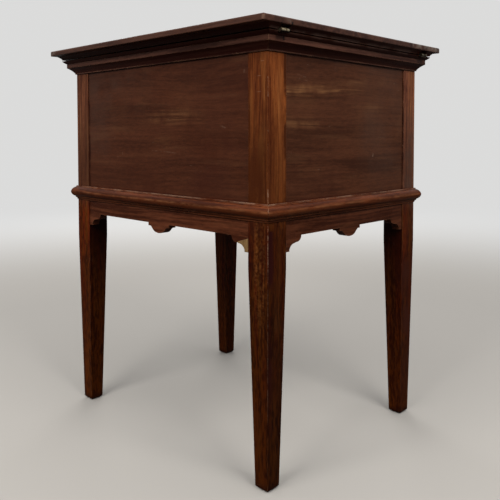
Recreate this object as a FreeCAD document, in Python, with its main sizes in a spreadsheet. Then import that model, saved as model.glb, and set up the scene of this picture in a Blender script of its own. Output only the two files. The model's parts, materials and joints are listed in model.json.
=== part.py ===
import FreeCAD, Part
import os
import re
import sys
import Sketcher

# A cellarette: a square-legged mahogany bottle chest with a hinged, moulded lid.
# Z is up, the floor is Z = 0 and the origin is under the middle of the case.
# The back, with the hinges, faces +Y; the front, with the lock, faces -Y; the right side faces +X.
# Millimetres. Every size stands once in the sheet, and every object is bound to it.

SIZES = {
    # case, seen in plan from post face to post face
    "caseWidth": 423.0,
    "caseDepth": 535.0,
    # heights, one upon the other from the floor to the top of the lid
    "legHeight": 391.4,
    "apronHeight": 26.5,
    "waistHeight": 28.0,
    "panelShow": 228.3,
    "coveHeight": 12.6,
    "bandHeight": 8.4,
    "capThick": 5.8,
    "lidGap": 2.1,
    "rimThick": 6.9,
    "lidThick": 10.0,
    # posts and legs
    "postWidth": 41.4,
    "footWidth": 26.0,
    "legSquare": 24.8,
    "legInset": 6.0,
    "footChamfer": 3.5,
    # panels and aprons between the posts
    "panelThick": 15.0,
    "panelRecess": 1.5,
    "tongueThick": 6.0,
    "tongueDepth": 5.0,
    "jointPlay": 0.2,
    # shaped lower edge of the aprons: an ear at each post and a pendant in the middle
    "earDrop": 23.2,
    "earTip": 9.5,
    "earTipRise": 2.4,
    "earCoveOut": 21.5,
    "earCoveUp": 11.9,
    "earBowOut": 26.0,
    "earBowUp": 13.2,
    "earLength": 38.4,
    "earStep": 1.2,
    "earCoveBow": 2.6,
    "earBow": 3.2,
    "pendantHalf": 29.6,
    "pendantStep": 5.4,
    "pendantLedge": 5.9,
    "pendantNeck": 18.2,
    "pendantNeckDrop": 9.9,
    "pendantChin": 11.6,
    "pendantChinDrop": 14.8,
    "pendantDrop": 16.9,
    "pendantCove": 0.25,
    "pendantCheek": 0.35,
    "pendantBow": 0.55,
    # glued tip under one ear, cut off along a slanting joint
    "tipJointIn": 1.2,
    "tipJointOut": 8.8,
    "tipJointReach": 25.0,
    # waist moulding, outward from the post face and upward from its bottom edge
    "waistToe": 1.3,
    "waistToeHigh": 0.9,
    "waistListel": 3.9,
    "waistListelLow": 4.0,
    "waistListelHigh": 5.9,
    "waistCoveBow": 0.7,
    "waistBeadLow": 6.7,
    "waistBeadFoot": 5.1,
    "waistBeadOut": 10.9,
    "waistBeadSag": 0.5,
    "waistBeadTop": 25.2,
    "waistBeadHead": 4.4,
    "waistBeadBowLow": 1.4,
    "waistBeadBowHigh": 1.5,
    "waistFillet": 2.8,
    "waistFilletHigh": 25.9,
    # cornice, cap strip and lid moulding, outward from the post face
    "corniceLip": 2.3,
    "corniceLipHigh": 1.7,
    "corniceOut": 14.4,
    "corniceCoveBow": 1.0,
    "capOut": 21.0,
    "capNose": 0.8,
    "capFoot": 14.9,
    "capBow": 0.3,
    "rimOut": 28.2,
    "rimFoot": 21.0,
    "rimFootHigh": 1.0,
    "rimCoveBow": 0.5,
    # lid board
    "lidSideOver": 42.2,
    "lidEndOver": 30.2,
    "lidCorner": 2.2,
    "lidRound": 2.4,
    "lidUnderRound": 1.2,
    # bottom board on cleats
    "cleatHigh": 8.0,
    "cleatWide": 14.0,
    "cleatRise": 0.3,
    "bottomThick": 8.0,
    "bottomPlay": 0.3,
    # crossed dividers that stand on the bottom board
    "dividerThick": 6.0,
    "dividerHigh": 185.0,
    "dividerPlay": 0.2,
    # hinges: three knuckles on a pin, and two thin leaves that lie in the gap
    "hingeLength": 19.0,
    "hingeInset": 10.3,
    "hingeOut": 23.0,
    "knuckleRadius": 3.6,
    "pinRadius": 1.5,
    "pinPlay": 0.05,
    "leafThick": 0.9,
    "leafWide": 19.0,
    "hingeRun": 0.3,
    "hingeNotchPlay": 0.9,
    "hingeNotchIn": 5.0,
    # link lock in the front, and its link plate under the lid
    "lockWidth": 60.0,
    "lockHigh": 50.0,
    "lockThick": 10.0,
    "lockWall": 1.5,
    "lockFloor": 24.0,
    "lockPlay": 0.3,
    "selvedgeLength": 78.0,
    "eyeSpread": 12.0,
    "eyeThick": 2.5,
    "eyeWide": 5.4,
    "eyeDrop": 12.0,
    "eyeHoleWide": 3.4,
    "eyeHoleHigh": 5.0,
    "eyeSill": 2.0,
    "slotPlay": 0.6,
    "boltHigh": 5.0,
    "boltFinger": 5.0,
    "boltPost": 3.0,
    "boltTravel": 6.0,
    "boltStandOff": 1.0,
    "keyholeDown": 36.5,
    "keyholeRadius": 3.0,
    "keyholeSlot": 3.2,
    "keyholeLength": 9.0,
    "keyholeDeep": 7.0,
    "escutcheonWall": 1.0,
    "escutcheonProud": 0.2,
    # folding stay on the right side: two equal arms, whose pivots and the hinge make a rhombus
    "stayReach": 110.0,
    "stayDrop": 51.6,
    "armThick": 2.0,
    "armWide": 10.0,
    "armGap": 0.3,
    "rivetRadius": 1.8,
    "rivetHead": 3.2,
    "rivetHeadThick": 0.7,
    "plateThick": 1.6,
    "plateForward": 9.0,
    "plateBack": 14.0,
    "plateDown": 18.0,
    "plateUp": 17.0,
    "stopAlong": 12.0,
    "stopRadius": 1.5,
    "lidOpenAngle": 95.0,
    "bracketLength": 26.0,
    "bracketFoot": 16.0,
}

doc = FreeCAD.newDocument("cellarette")
sheet = doc.addObject("Spreadsheet::Sheet", "sizes")
for row, (alias, size) in enumerate(SIZES.items(), start=1):
    sheet.set("A%d" % row, alias)
    sheet.set("B%d" % row, str(size))
    sheet.setAlias("B%d" % row, alias)
doc.recompute()

nodes = {}


def linked(text):
    """The same formula, with each size's name pointed at the sheet."""
    point = lambda word: "sizes." + word.group() if word.group() in SIZES else word.group()
    return re.sub(r"[A-Za-z]\w*", point, text)


def valueOf(text):
    return float(sheet.evalExpression(linked(text)))


def bind(thing, **formulas):
    for prop, text in formulas.items():
        thing.setExpression(prop, linked(text))


def move(thing, x, y, z):
    """Ties a Placement's position to the sheet."""
    for axis, text in zip("xyz", (x, y, z)):
        if text != "0":
            thing.setExpression("Placement.Base." + axis, linked(text))


def turn(thing, axis, degrees):
    thing.Placement = FreeCAD.Placement(FreeCAD.Vector(0, 0, 0), FreeCAD.Rotation(axis, degrees))


def keep(name, thing):
    """Names a finished piece; its name is the name of its file."""
    thing.Label = name
    nodes[name] = thing
    return thing


# Primitives and booleans

AXIS_TURN = {
    "x": (FreeCAD.Vector(0, 1, 0), 90),
    "-x": (FreeCAD.Vector(0, 1, 0), -90),
    "y": (FreeCAD.Vector(1, 0, 0), -90),
    "-y": (FreeCAD.Vector(1, 0, 0), 90),
    "z": (FreeCAD.Vector(0, 0, 1), 0),
    "-z": (FreeCAD.Vector(1, 0, 0), 180),
}


def box(name, length, width, height, x="0", y="0", z="0"):
    thing = doc.addObject("Part::Box", name)
    bind(thing, Length=length, Width=width, Height=height)
    move(thing, x, y, z)
    return thing


def cylinder(name, axis, radius, height, x="0", y="0", z="0"):
    thing = doc.addObject("Part::Cylinder", name)
    bind(thing, Radius=radius, Height=height)
    turn(thing, *AXIS_TURN[axis])
    move(thing, x, y, z)
    return thing


def fuse(name, *things):
    thing = doc.addObject("Part::MultiFuse", name)
    thing.Shapes = list(things)
    return thing


def cut(name, base, *tools):
    thing = doc.addObject("Part::Cut", name)
    thing.Base = base
    thing.Tool = tools[0] if len(tools) == 1 else fuse(name + "Tools", *tools)
    return thing


def common(name, base, tool):
    thing = doc.addObject("Part::Common", name)
    thing.Base = base
    thing.Tool = tool
    return thing


# Sketches


def draw(sketch, corners):
    """Draws a closed outline, anticlockwise. A corner is (x, y), or (x, y, rise) where the edge that ends
    there is an arc: a positive rise bows it out of the outline, and a negative one bows it in."""
    points = [FreeCAD.Vector(valueOf(c[0]), valueOf(c[1]), 0) for c in corners]
    edges = []
    for i, corner in enumerate(corners):
        a, b = points[i - 1], points[i]
        if len(corner) == 3:
            along = (b - a).normalize()
            out = FreeCAD.Vector(along.y, -along.x, 0)
            mid = (a + b) * 0.5 + out * valueOf(corner[2])
            bowsOut = valueOf(corner[2]) > 0
            edge = Part.Arc(a, mid, b) if bowsOut else Part.Arc(b, mid, a)
            first = 1 if bowsOut else 2
        else:
            edge = Part.LineSegment(a, b)
            first = 1
        edges.append((sketch.addGeometry(edge, False), first, 3 - first))
    for i, corner in enumerate(corners):
        before, after = edges[i], edges[(i + 1) % len(edges)]
        sketch.addConstraint(Sketcher.Constraint("Coincident", before[0], before[2], after[0], after[1]))
        for kind, text, axis in (("DistanceX", corner[0], -2), ("DistanceY", corner[1], -1)):
            if text == "0":
                sketch.addConstraint(Sketcher.Constraint("PointOnObject", before[0], before[2], axis))
                continue
            at = sketch.addConstraint(
                Sketcher.Constraint(kind, -1, 1, before[0], before[2], valueOf(text))
            )
            sketch.setExpression("Constraints[%d]" % at, linked(text))
        if len(corner) == 3:
            last = corners[i - 1]
            chord = "((%s)-(%s))^2+((%s)-(%s))^2" % (corner[0], last[0], corner[1], last[1])
            radius = "abs(%s)/2+(%s)/(8*abs(%s))" % (corner[2], chord, corner[2])
            at = sketch.addConstraint(Sketcher.Constraint("Radius", before[0], valueOf(radius)))
            sketch.setExpression("Constraints[%d]" % at, linked(radius))


def rectangle(width, depth):
    return [("0", "0"), (width, "0"), (width, depth), ("0", depth)]


def bodySketch(body, name, plane, lift, corners):
    """A sketch on one of the body's own planes, lifted along that plane's normal."""
    sketch = body.newObject("Sketcher::SketchObject", name)
    support = [f for f in body.Origin.OriginFeatures if f.Role == plane][0]
    sketch.AttachmentSupport = (support, [""])
    sketch.MapMode = "FlatFace"
    if lift != "0":
        sketch.setExpression("AttachmentOffset.Base.z", linked(lift))
    draw(sketch, corners)
    return sketch


def pad(body, name, sketch, length):
    thing = body.newObject("PartDesign::Pad", name)
    thing.Profile = sketch
    bind(thing, Length=length)
    sketch.Visibility = False
    return thing


def edgesWhere(shape, test):
    return ["Edge%d" % (i + 1) for i, edge in enumerate(shape.Edges) if test(edge.BoundBox)]


# Heights worked out from the sheet

zEar = "(legHeight-earDrop)"
zSquare = "(legHeight-earDrop-legSquare)"
zWaist = "(legHeight+apronHeight)"
zSplit = "(legHeight+apronHeight+waistHeight/2)"
zCornice = "(legHeight+apronHeight+waistHeight+panelShow)"
zCap = "(legHeight+apronHeight+waistHeight+panelShow+coveHeight+bandHeight)"
zGap = "(legHeight+apronHeight+waistHeight+panelShow+coveHeight+bandHeight+capThick)"
zRim = "(%s+lidGap)" % zGap
zLid = "(%s+rimThick)" % zRim
zAxis = "(%s+lidGap/2)" % zGap
zBottom = "(legHeight+cleatRise+cleatHigh)"
zFloor = "(%s+bottomThick)" % zBottom
inner = "(panelRecess+panelThick)"

# The four sides: turn about Z, middle of the post faces, and length from post face to post face.
# In a side's own frame x runs along it, y points out of the case from the post faces, and z is up.
SIDES = {
    "back": (0, "0", "caseDepth/2", "caseWidth"),
    "front": (180, "0", "-caseDepth/2", "caseWidth"),
    "right": (-90, "caseWidth/2", "0", "caseDepth"),
    "left": (90, "-caseWidth/2", "0", "caseDepth"),
}


def onSide(thing, side):
    degrees, x, y, _ = SIDES[side]
    turn(thing, FreeCAD.Vector(0, 0, 1), degrees)
    move(thing, x, y, "0")
    return thing


# Places of the metal pieces

hingeX = "(caseWidth/2-hingeInset)"
hingeY = "(caseDepth/2+hingeOut)"
lockY = "(-caseDepth/2+%s-lockThick/2)" % inner
leafTopZ = "(%s+leafThick)" % zGap
leafUnderZ = "(%s-leafThick)" % zRim
stayWallX = "(caseWidth/2-%s)" % inner
plateX = "(%s-plateThick)" % stayWallX
lowerArmX = "(%s-armGap-armThick)" % plateX
upperArmX = "(%s-armGap-armThick)" % lowerArmX
bracketX = "(%s+armThick+armGap)" % upperArmX
bracketZ = "(%s-plateThick)" % zLid
caseRivetY = "(%s-sqrt(stayReach^2-stayDrop^2))" % hingeY
caseRivetZ = "(%s-stayDrop)" % zAxis
lidRivetY = "(%s-stayReach)" % hingeY


# Wooden frame


def makePosts():
    """Leg and stile in one: square above, and below the aprons tapered on its four faces, most on the two
    inner ones. The outer corner of the blank is at its own origin, and it is turned into each corner of the
    case."""
    body = doc.addObject("PartDesign::Body", "postBlank")
    plan = bodySketch(body, "postPlan", "XY_Plane", zSquare, rectangle("postWidth", "postWidth"))
    pad(body, "postShaft", plan, "%s-%s" % (zCap, zSquare))
    far = "legInset+footWidth"
    sole = [("legInset", "legInset"), (far, "legInset"), (far, far), ("legInset", far)]
    foot = bodySketch(body, "footPlan", "XY_Plane", "0", sole)
    taper = body.newObject("PartDesign::AdditiveLoft", "legTaper")
    taper.Profile = foot
    taper.Sections = [plan]
    taper.Ruled = True
    doc.recompute()
    worn = body.newObject("PartDesign::Chamfer", "footWear")
    worn.Base = (taper, edgesWhere(taper.Shape, lambda b: b.ZMax < valueOf("footChamfer") / 2))
    bind(worn, Size="footChamfer")
    side = "panelRecess+(panelThick-tongueThick)/2"
    start = "postWidth-tongueDepth"
    high = "%s-%s" % (zCap, zEar)
    grooves = [
        box("grooveAcross", "tongueDepth", "tongueThick", high, start, side, zEar),
        box("grooveAlong", "tongueThick", "tongueDepth", high, side, start, zEar),
    ]
    corners = {
        "post_back_right": (180, "caseWidth/2", "caseDepth/2"),
        "post_back_left": (-90, "-caseWidth/2", "caseDepth/2"),
        "post_front_left": (0, "-caseWidth/2", "-caseDepth/2"),
        "post_front_right": (90, "caseWidth/2", "-caseDepth/2"),
    }
    for name, (degrees, x, y) in corners.items():
        post = keep(name, cut(name, body, *grooves))
        turn(post, FreeCAD.Vector(0, 0, 1), degrees)
        move(post, x, y, "0")


def makePanels():
    """Upright boards between the posts, tongued into them."""
    for side, (_, _, _, length) in SIDES.items():
        clear = "(%s-2*postWidth)" % length
        tongued = "(%s+2*tongueDepth-2*jointPlay)" % clear
        high = "%s-%s" % (zCap, zSplit)
        board = box(side + "Board", clear, "panelThick", high, "-%s/2" % clear, "-" + inner, zSplit)
        tongueY = "-panelRecess-(panelThick+tongueThick)/2"
        tongue = box(side + "Tongue", tongued, "tongueThick", high, "-%s/2" % tongued, tongueY, zSplit)
        panel = onSide(fuse(side + "Panel", board, tongue), side)
        if side == "front":
            panel = cut("panelFrontCut", panel, lockMortise(), keyhole("panelKeyhole", "escutcheonWall"))
        keep("panel_" + side, panel)


def apronOutline(half):
    """Half of an apron, x outward from the middle and y up from the foot of the ears."""
    top = "%s-%s" % (zSplit, zEar)
    return [
        (half, "0"),
        (half, top),
        ("0", top),
        ("0", "earDrop-pendantDrop"),
        ("pendantChin", "earDrop-pendantChinDrop", "pendantBow"),
        ("pendantNeck", "earDrop-pendantNeckDrop", "pendantCheek"),
        ("pendantHalf-pendantLedge", "earDrop-pendantStep", "-pendantCove"),
        ("pendantHalf", "earDrop-pendantStep"),
        ("pendantHalf", "earDrop"),
        ("%s-earLength" % half, "earDrop"),
        ("%s-earLength" % half, "earDrop-earStep"),
        ("%s-earBowOut" % half, "earBowUp", "earBow"),
        ("%s-earCoveOut" % half, "earCoveUp"),
        ("%s-earTip" % half, "earTipRise", "-earCoveBow"),
        ("%s-earTip" % half, "0"),
    ]


def makeAprons():
    """Boards under the panels, with an ear at each post and a pendant in the middle of the lower edge."""
    for side, (_, _, _, length) in SIDES.items():
        half = "(%s/2-postWidth)" % length
        body = doc.addObject("PartDesign::Body", side + "ApronBody")
        shape = bodySketch(body, side + "ApronShape", "XZ_Plane", "panelRecess", apronOutline(half))
        board = pad(body, side + "ApronBoard", shape, "panelThick")
        reach = "tongueDepth-jointPlay"
        tongueShape = [
            (half, "0"),
            ("%s+%s" % (half, reach), "0"),
            ("%s+%s" % (half, reach), "%s-%s" % (zSplit, zEar)),
            (half, "%s-%s" % (zSplit, zEar)),
        ]
        lift = "panelRecess+(panelThick-tongueThick)/2"
        tongue = bodySketch(body, side + "ApronTongueShape", "XZ_Plane", lift, tongueShape)
        tongue = pad(body, side + "ApronTongue", tongue, "tongueThick")
        mirror = body.newObject("PartDesign::Mirrored", side + "ApronMirror")
        mirror.Originals = [board, tongue]
        plane = [f for f in body.Origin.OriginFeatures if f.Role == "YZ_Plane"][0]
        mirror.MirrorPlane = (plane, [""])
        body.Tip = mirror
        bind(body, **{"Placement.Base.z": zEar})
        if side != "right":
            apron = placedCopy(side + "Apron", body)
            keep("apron_" + side, onSide(apron, side))
            continue
        # The ear beside the back right post has a tip of its own, glued on along a slanting joint.
        region = doc.addObject("Sketcher::SketchObject", "tipRegion")
        turn(region, FreeCAD.Vector(1, 0, 0), 90)
        far = "postWidth"
        low = "tipJointOut+tipJointReach"
        edge = [
            ("0", "0"),
            (far + "+tipJointReach", "0"),
            (far + "+tipJointReach", "%s-tipJointOut" % low),
            (far, "%s-tipJointIn" % low),
            ("0", "%s-tipJointIn" % low),
        ]
        draw(region, edge)
        move(region, "-%s/2" % length, "0", "legHeight-(%s)" % low)
        tool = doc.addObject("Part::Extrusion", "tipTool")
        tool.Base = region
        tool.DirMode = "Normal"
        tool.Solid = True
        bind(tool, LengthFwd="2*(%s)" % inner)
        keep("apron_right", onSide(cut("apronRightCut", body, tool), side))
        keep("apron_right_tip", onSide(common("apronTipCommon", body, tool), side))


def placedCopy(name, body):
    """A placed copy of a body that stays in its own frame."""
    thing = doc.addObject("Part::Compound", name)
    thing.Links = [body]
    return thing


# Mouldings


def profile(name, lift, back, corners):
    """A moulding's section. Its x is measured outward from its back, and its y upward."""
    sketch = doc.addObject("Sketcher::SketchObject", name)
    turn(sketch, FreeCAD.Vector(1, 1, 1), 120)
    draw(sketch, corners)
    move(sketch, "0", "-%s" % back, lift)
    return sketch


def mitredPiece(name, section, length, back, out, low, high):
    """The section run along one side and mitred at 45 degrees at both ends."""
    run = doc.addObject("Part::Extrusion", name + "Run")
    run.Base = section
    run.DirMode = "Normal"
    run.Solid = True
    run.Symmetric = True
    bind(run, LengthFwd="%s+2*(%s)" % (length, out))
    mitre = doc.addObject("Part::Wedge", name + "Mitre")
    bind(mitre, Ymin="-(%s)" % back, Ymax=out)
    bind(mitre, Zmin=low, Z2min=low, Zmax=high, Z2max=high)
    bind(mitre, Xmin="-(%s/2-(%s))" % (length, back), Xmax="%s/2-(%s)" % (length, back))
    bind(mitre, X2min="-(%s/2+%s)" % (length, out), X2max="%s/2+%s" % (length, out))
    return common(name + "Mitred", run, mitre)


def postClear(name, length, low, high):
    """Two boxes that clear the posts' faces behind a moulding that reaches back to the panel."""
    wide = "(postWidth+panelRecess)"
    tall = "(%s)-(%s)" % (high, low)
    left = "-%s/2-panelRecess" % length
    right = "%s/2-postWidth" % length
    return [
        box(name + "ClearLeft", wide, "panelRecess", tall, left, "-panelRecess", low),
        box(name + "ClearRight", wide, "panelRecess", tall, right, "-panelRecess", low),
    ]


def makeWaist():
    """Bead between a fillet above and a listel and cavetto below. Covers the joint of panel and apron."""
    x = lambda out: "(panelRecess+%s)" % out
    section = profile(
        "waistSection",
        zWaist,
        "panelRecess",
        [
            ("0", "0"),
            (x("waistToe"), "0"),
            (x("waistToe"), "waistToeHigh"),
            (x("waistListel"), "waistListelLow", "-waistCoveBow"),
            (x("waistListel"), "waistListelHigh"),
            (x("waistBeadFoot"), "waistBeadLow"),
            (x("waistBeadOut"), "(waistBeadLow+waistBeadTop)/2-waistBeadSag", "waistBeadBowLow"),
            (x("waistBeadHead"), "waistBeadTop", "waistBeadBowHigh"),
            (x("waistFillet"), "waistFilletHigh"),
            (x("waistFillet"), "waistHeight"),
            ("0", "waistHeight"),
        ],
    )
    high = "(%s+waistHeight)" % zWaist
    for side, (_, _, _, length) in SIDES.items():
        name = side + "Waist"
        piece = mitredPiece(name, section, length, "panelRecess", "waistBeadOut", zWaist, high)
        piece = cut(name, piece, *postClear(name, length, zWaist, high))
        keep("waist_moulding_" + side, onSide(piece, side))


def makeCornice():
    """Cove under a flat band, glued round the head of the case."""
    x = lambda out: "(panelRecess+%s)" % out
    section = profile(
        "corniceSection",
        zCornice,
        "panelRecess",
        [
            ("0", "0"),
            (x("corniceLip"), "0"),
            (x("corniceLip"), "corniceLipHigh"),
            (x("corniceOut"), "coveHeight", "-corniceCoveBow"),
            (x("corniceOut"), "coveHeight+bandHeight"),
            ("0", "coveHeight+bandHeight"),
        ],
    )
    for side, (_, _, _, length) in SIDES.items():
        name = side + "Cornice"
        piece = mitredPiece(name, section, length, "panelRecess", "corniceOut", zCornice, zCap)
        piece = onSide(cut(name, piece, *postClear(name, length, zCornice, zCap)), side)
        keep("cornice_" + side, piece)


def hingeNotches(name, low, high):
    """The cut-outs round the two hinge barrels in the edge of a back strip, from low to high."""
    wide = "(hingeLength+2*hingeNotchPlay)"
    y = "%s-hingeNotchIn" % hingeY
    tall = "(%s)-(%s)" % (high, low)
    notches = []
    for hand, x in (("Left", "-" + hingeX), ("Right", hingeX)):
        start = "%s-%s/2" % (x, wide)
        notches.append(box(name + "Notch" + hand, wide, "4*hingeNotchIn", tall, start, y, low))
    return notches


def makeCapStrips():
    """Thin strips with a rounded nose that cap the posts, panels and cornice."""
    x = lambda out: "(%s+%s)" % (inner, out)
    section = profile(
        "capSection",
        zCap,
        inner,
        [
            ("0", "0"),
            (x("capFoot"), "0"),
            (x("capOut"), "capThick-capNose", "capBow"),
            (x("capOut"), "capThick"),
            ("0", "capThick"),
        ],
    )
    for side, (_, _, _, length) in SIDES.items():
        name = side + "Cap"
        piece = onSide(mitredPiece(name, section, length, inner, "capOut", zCap, zGap), side)
        if side == "back":
            piece = cut(name, piece, *hingeNotches(name, zCap, zGap))
        if side == "front":
            piece = cut(name, piece, lockMortise())
        keep("cap_strip_" + side, piece)


# Lid


def makeLidMouldings():
    """Strips under the edge of the lid, coved on the outside."""
    x = lambda out: "(%s+%s)" % (inner, out)
    section = profile(
        "rimSection",
        zRim,
        inner,
        [
            ("0", "0"),
            (x("rimFoot"), "0"),
            (x("rimFoot"), "rimFootHigh"),
            (x("rimOut"), "rimThick", "-rimCoveBow"),
            ("0", "rimThick"),
        ],
    )
    for side, (_, _, _, length) in SIDES.items():
        name = side + "Rim"
        piece = onSide(mitredPiece(name, section, length, inner, "rimOut", zRim, zLid), side)
        if side == "back":
            piece = cut(name, piece, *hingeNotches(name, zRim, zLid))
        keep("lid_moulding_" + side, piece)


def makeLidBoard():
    """One wide board with its corners and edges softened."""
    width = "(caseWidth+2*lidSideOver)"
    depth = "(caseDepth+2*lidEndOver)"
    body = doc.addObject("PartDesign::Body", "lidBody")
    plan = bodySketch(body, "lidPlan", "XY_Plane", "0", rectangle(width, depth))
    board = pad(body, "lidSlab", plan, "lidThick")
    doc.recompute()
    thick = valueOf("lidThick")
    corner = body.newObject("PartDesign::Fillet", "lidCorners")
    corner.Base = (board, edgesWhere(board.Shape, lambda b: b.ZLength > thick / 2))
    bind(corner, Radius="lidCorner")
    doc.recompute()
    upper = body.newObject("PartDesign::Fillet", "lidUpperEdge")
    upper.Base = (corner, edgesWhere(corner.Shape, lambda b: b.ZMin > thick / 2))
    bind(upper, Radius="lidRound")
    doc.recompute()
    lower = body.newObject("PartDesign::Fillet", "lidLowerEdge")
    lower.Base = (upper, edgesWhere(upper.Shape, lambda b: b.ZMax < thick / 20))
    bind(lower, Radius="lidUnderRound")
    move(body, "-%s/2" % width, "-%s/2" % depth, zLid)
    keep("lid_board", body)


# Inside


def makeBottom():
    """Bottom board, notched round the posts, on four cleats behind the aprons."""
    wide = "(caseWidth-2*%s-2*bottomPlay)" % inner
    deep = "(caseDepth-2*%s-2*bottomPlay)" % inner
    board = box("bottomBlank", wide, deep, "bottomThick", "-%s/2" % wide, "-%s/2" % deep, zBottom)
    notches = []
    for hand, x in (("Left", "-caseWidth/2"), ("Right", "caseWidth/2-postWidth-bottomPlay")):
        for end, y in (("Front", "-caseDepth/2"), ("Back", "caseDepth/2-postWidth-bottomPlay")):
            square = "postWidth+bottomPlay"
            notches.append(box("bottomNotch" + hand + end, square, square, "bottomThick", x, y, zBottom))
    keep("bottom_board", cut("bottomCut", board, *notches))
    for side, (_, _, _, length) in SIDES.items():
        clear = "(%s-2*postWidth)" % length
        at = ("-%s/2" % clear, "-(%s+cleatWide)" % inner, "legHeight+cleatRise")
        cleat = box(side + "Cleat", clear, "cleatWide", "cleatHigh", *at)
        keep("bottom_cleat_" + side, onSide(placedCopy(side + "CleatPlaced", cleat), side))


def makeDividers():
    """Boards halved over each other: two run from front to back, three from side to side."""
    clearWide = "(caseWidth-2*%s)" % inner
    clearDeep = "(caseDepth-2*%s)" % inner
    longX = "(%s+dividerThick)/6" % clearWide
    crossY = "((%s+dividerThick)/4)" % clearDeep
    longPlaces = {"left": "-(%s)" % longX, "right": "(%s)" % longX}
    crossPlaces = {"front": "-%s" % crossY, "middle": "0", "back": crossY}
    slot = "(dividerThick+2*dividerPlay)"
    for name, x in longPlaces.items():
        run = "(%s-2*dividerPlay)" % clearDeep
        at = (x + "-dividerThick/2", "-%s/2" % run, zFloor)
        board = box("long" + name, "dividerThick", run, "dividerHigh", *at)
        slots = []
        for place, y in crossPlaces.items():
            at = (x + "-dividerThick", y + "-%s/2" % slot, "%s+dividerHigh/2-dividerPlay/2" % zFloor)
            slots.append(box("slotLong" + name + place, "2*dividerThick", slot, "dividerHigh", *at))
        keep("divider_long_" + name, cut("longCut" + name, board, *slots))
    for name, y in crossPlaces.items():
        run = "(%s-2*dividerPlay)" % clearWide
        at = ("-%s/2" % run, y + "-dividerThick/2", zFloor)
        board = box("cross" + name, run, "dividerThick", "dividerHigh", *at)
        slots = []
        for place, x in longPlaces.items():
            at = (x + "-%s/2" % slot, y + "-dividerThick", "%s-dividerHigh/2+dividerPlay/2" % zFloor)
            slots.append(box("slotCross" + name + place, slot, "2*dividerThick", "dividerHigh", *at))
        keep("divider_cross_" + name, cut("crossCut" + name, board, *slots))


# Hinges


def makeHinges():
    """Butt hinges: the case leaf has the outer knuckles, and the lid leaf has the middle one."""
    third = "hingeLength/3"
    run = "(knuckleRadius+hingeRun)"
    for hand, x in (("left", "-" + hingeX), ("right", hingeX)):
        start = x + "-hingeLength/2"
        middle = x + "-hingeLength/6"
        last = x + "+hingeLength/6"
        at = (hingeY, zAxis)
        leafY = hingeY + "-leafWide"
        caseName = "hinge_%s_case_leaf" % hand
        lidName = "hinge_%s_lid_leaf" % hand
        bore = cylinder(hand + "Bore", "x", "pinRadius+pinPlay", "2*hingeLength", x + "-hingeLength", *at)
        clear = cylinder(hand + "ClearMiddle", "x", run, third + "+hingeRun/2", middle + "-hingeRun/4", *at)
        clearFirst = cylinder(hand + "ClearFirst", "x", run, third + "+hingeRun/4", start, *at)
        clearLast = cylinder(hand + "ClearLast", "x", run, third + "+hingeRun/4", last + "-hingeRun/4", *at)
        leaf = box(hand + "CaseLeaf", "hingeLength", "leafWide", "leafThick", start, leafY, zGap)
        barrel = cylinder(hand + "Barrel", "x", "knuckleRadius", "hingeLength", start, *at)
        whole = fuse(hand + "CaseWhole", leaf, barrel)
        keep(caseName, cut(hand + "CaseCut", whole, clear, bore))
        leaf = box(hand + "LidLeaf", "hingeLength", "leafWide", "leafThick", start, leafY, leafUnderZ)
        leaf = cut(hand + "LidLeafCut", leaf, clearFirst, clearLast)
        width = third + "-hingeRun/2"
        knuckle = cylinder(hand + "Knuckle", "x", "knuckleRadius", width, middle + "+hingeRun/4", *at)
        whole = fuse(hand + "LidWhole", leaf, knuckle)
        keep(lidName, cut(hand + "LidCut", whole, bore))
        keep("hinge_%s_pin" % hand, cylinder(hand + "Pin", "x", "pinRadius", "hingeLength", start, *at))


# Lock


def lockMortise():
    y = "%s-lockThick/2" % lockY
    return box("lockMortise", "lockWidth", "lockThick", "lockHigh", "-lockWidth/2", y, "%s-lockHigh" % zGap)


def keyhole(name, wall):
    """The keyhole's round head and slot, larger all round by wall, from outside the front into the lock."""
    z = "%s-keyholeDown" % zGap
    front = "-caseDepth/2-escutcheonProud"
    deep = "%s+panelRecess+keyholeDeep" % "escutcheonProud"
    grow = "+" + wall
    head = cylinder(name + "Head", "y", "keyholeRadius" + grow, deep, "0", front, z)
    slotWide = "(keyholeSlot+2*%s)" % wall
    slotLow = "%s-keyholeLength-%s" % (z, wall)
    slot = box(name + "Slot", slotWide, deep, "keyholeLength" + grow, "-%s/2" % slotWide, front, slotLow)
    return fuse(name, head, slot)


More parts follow.
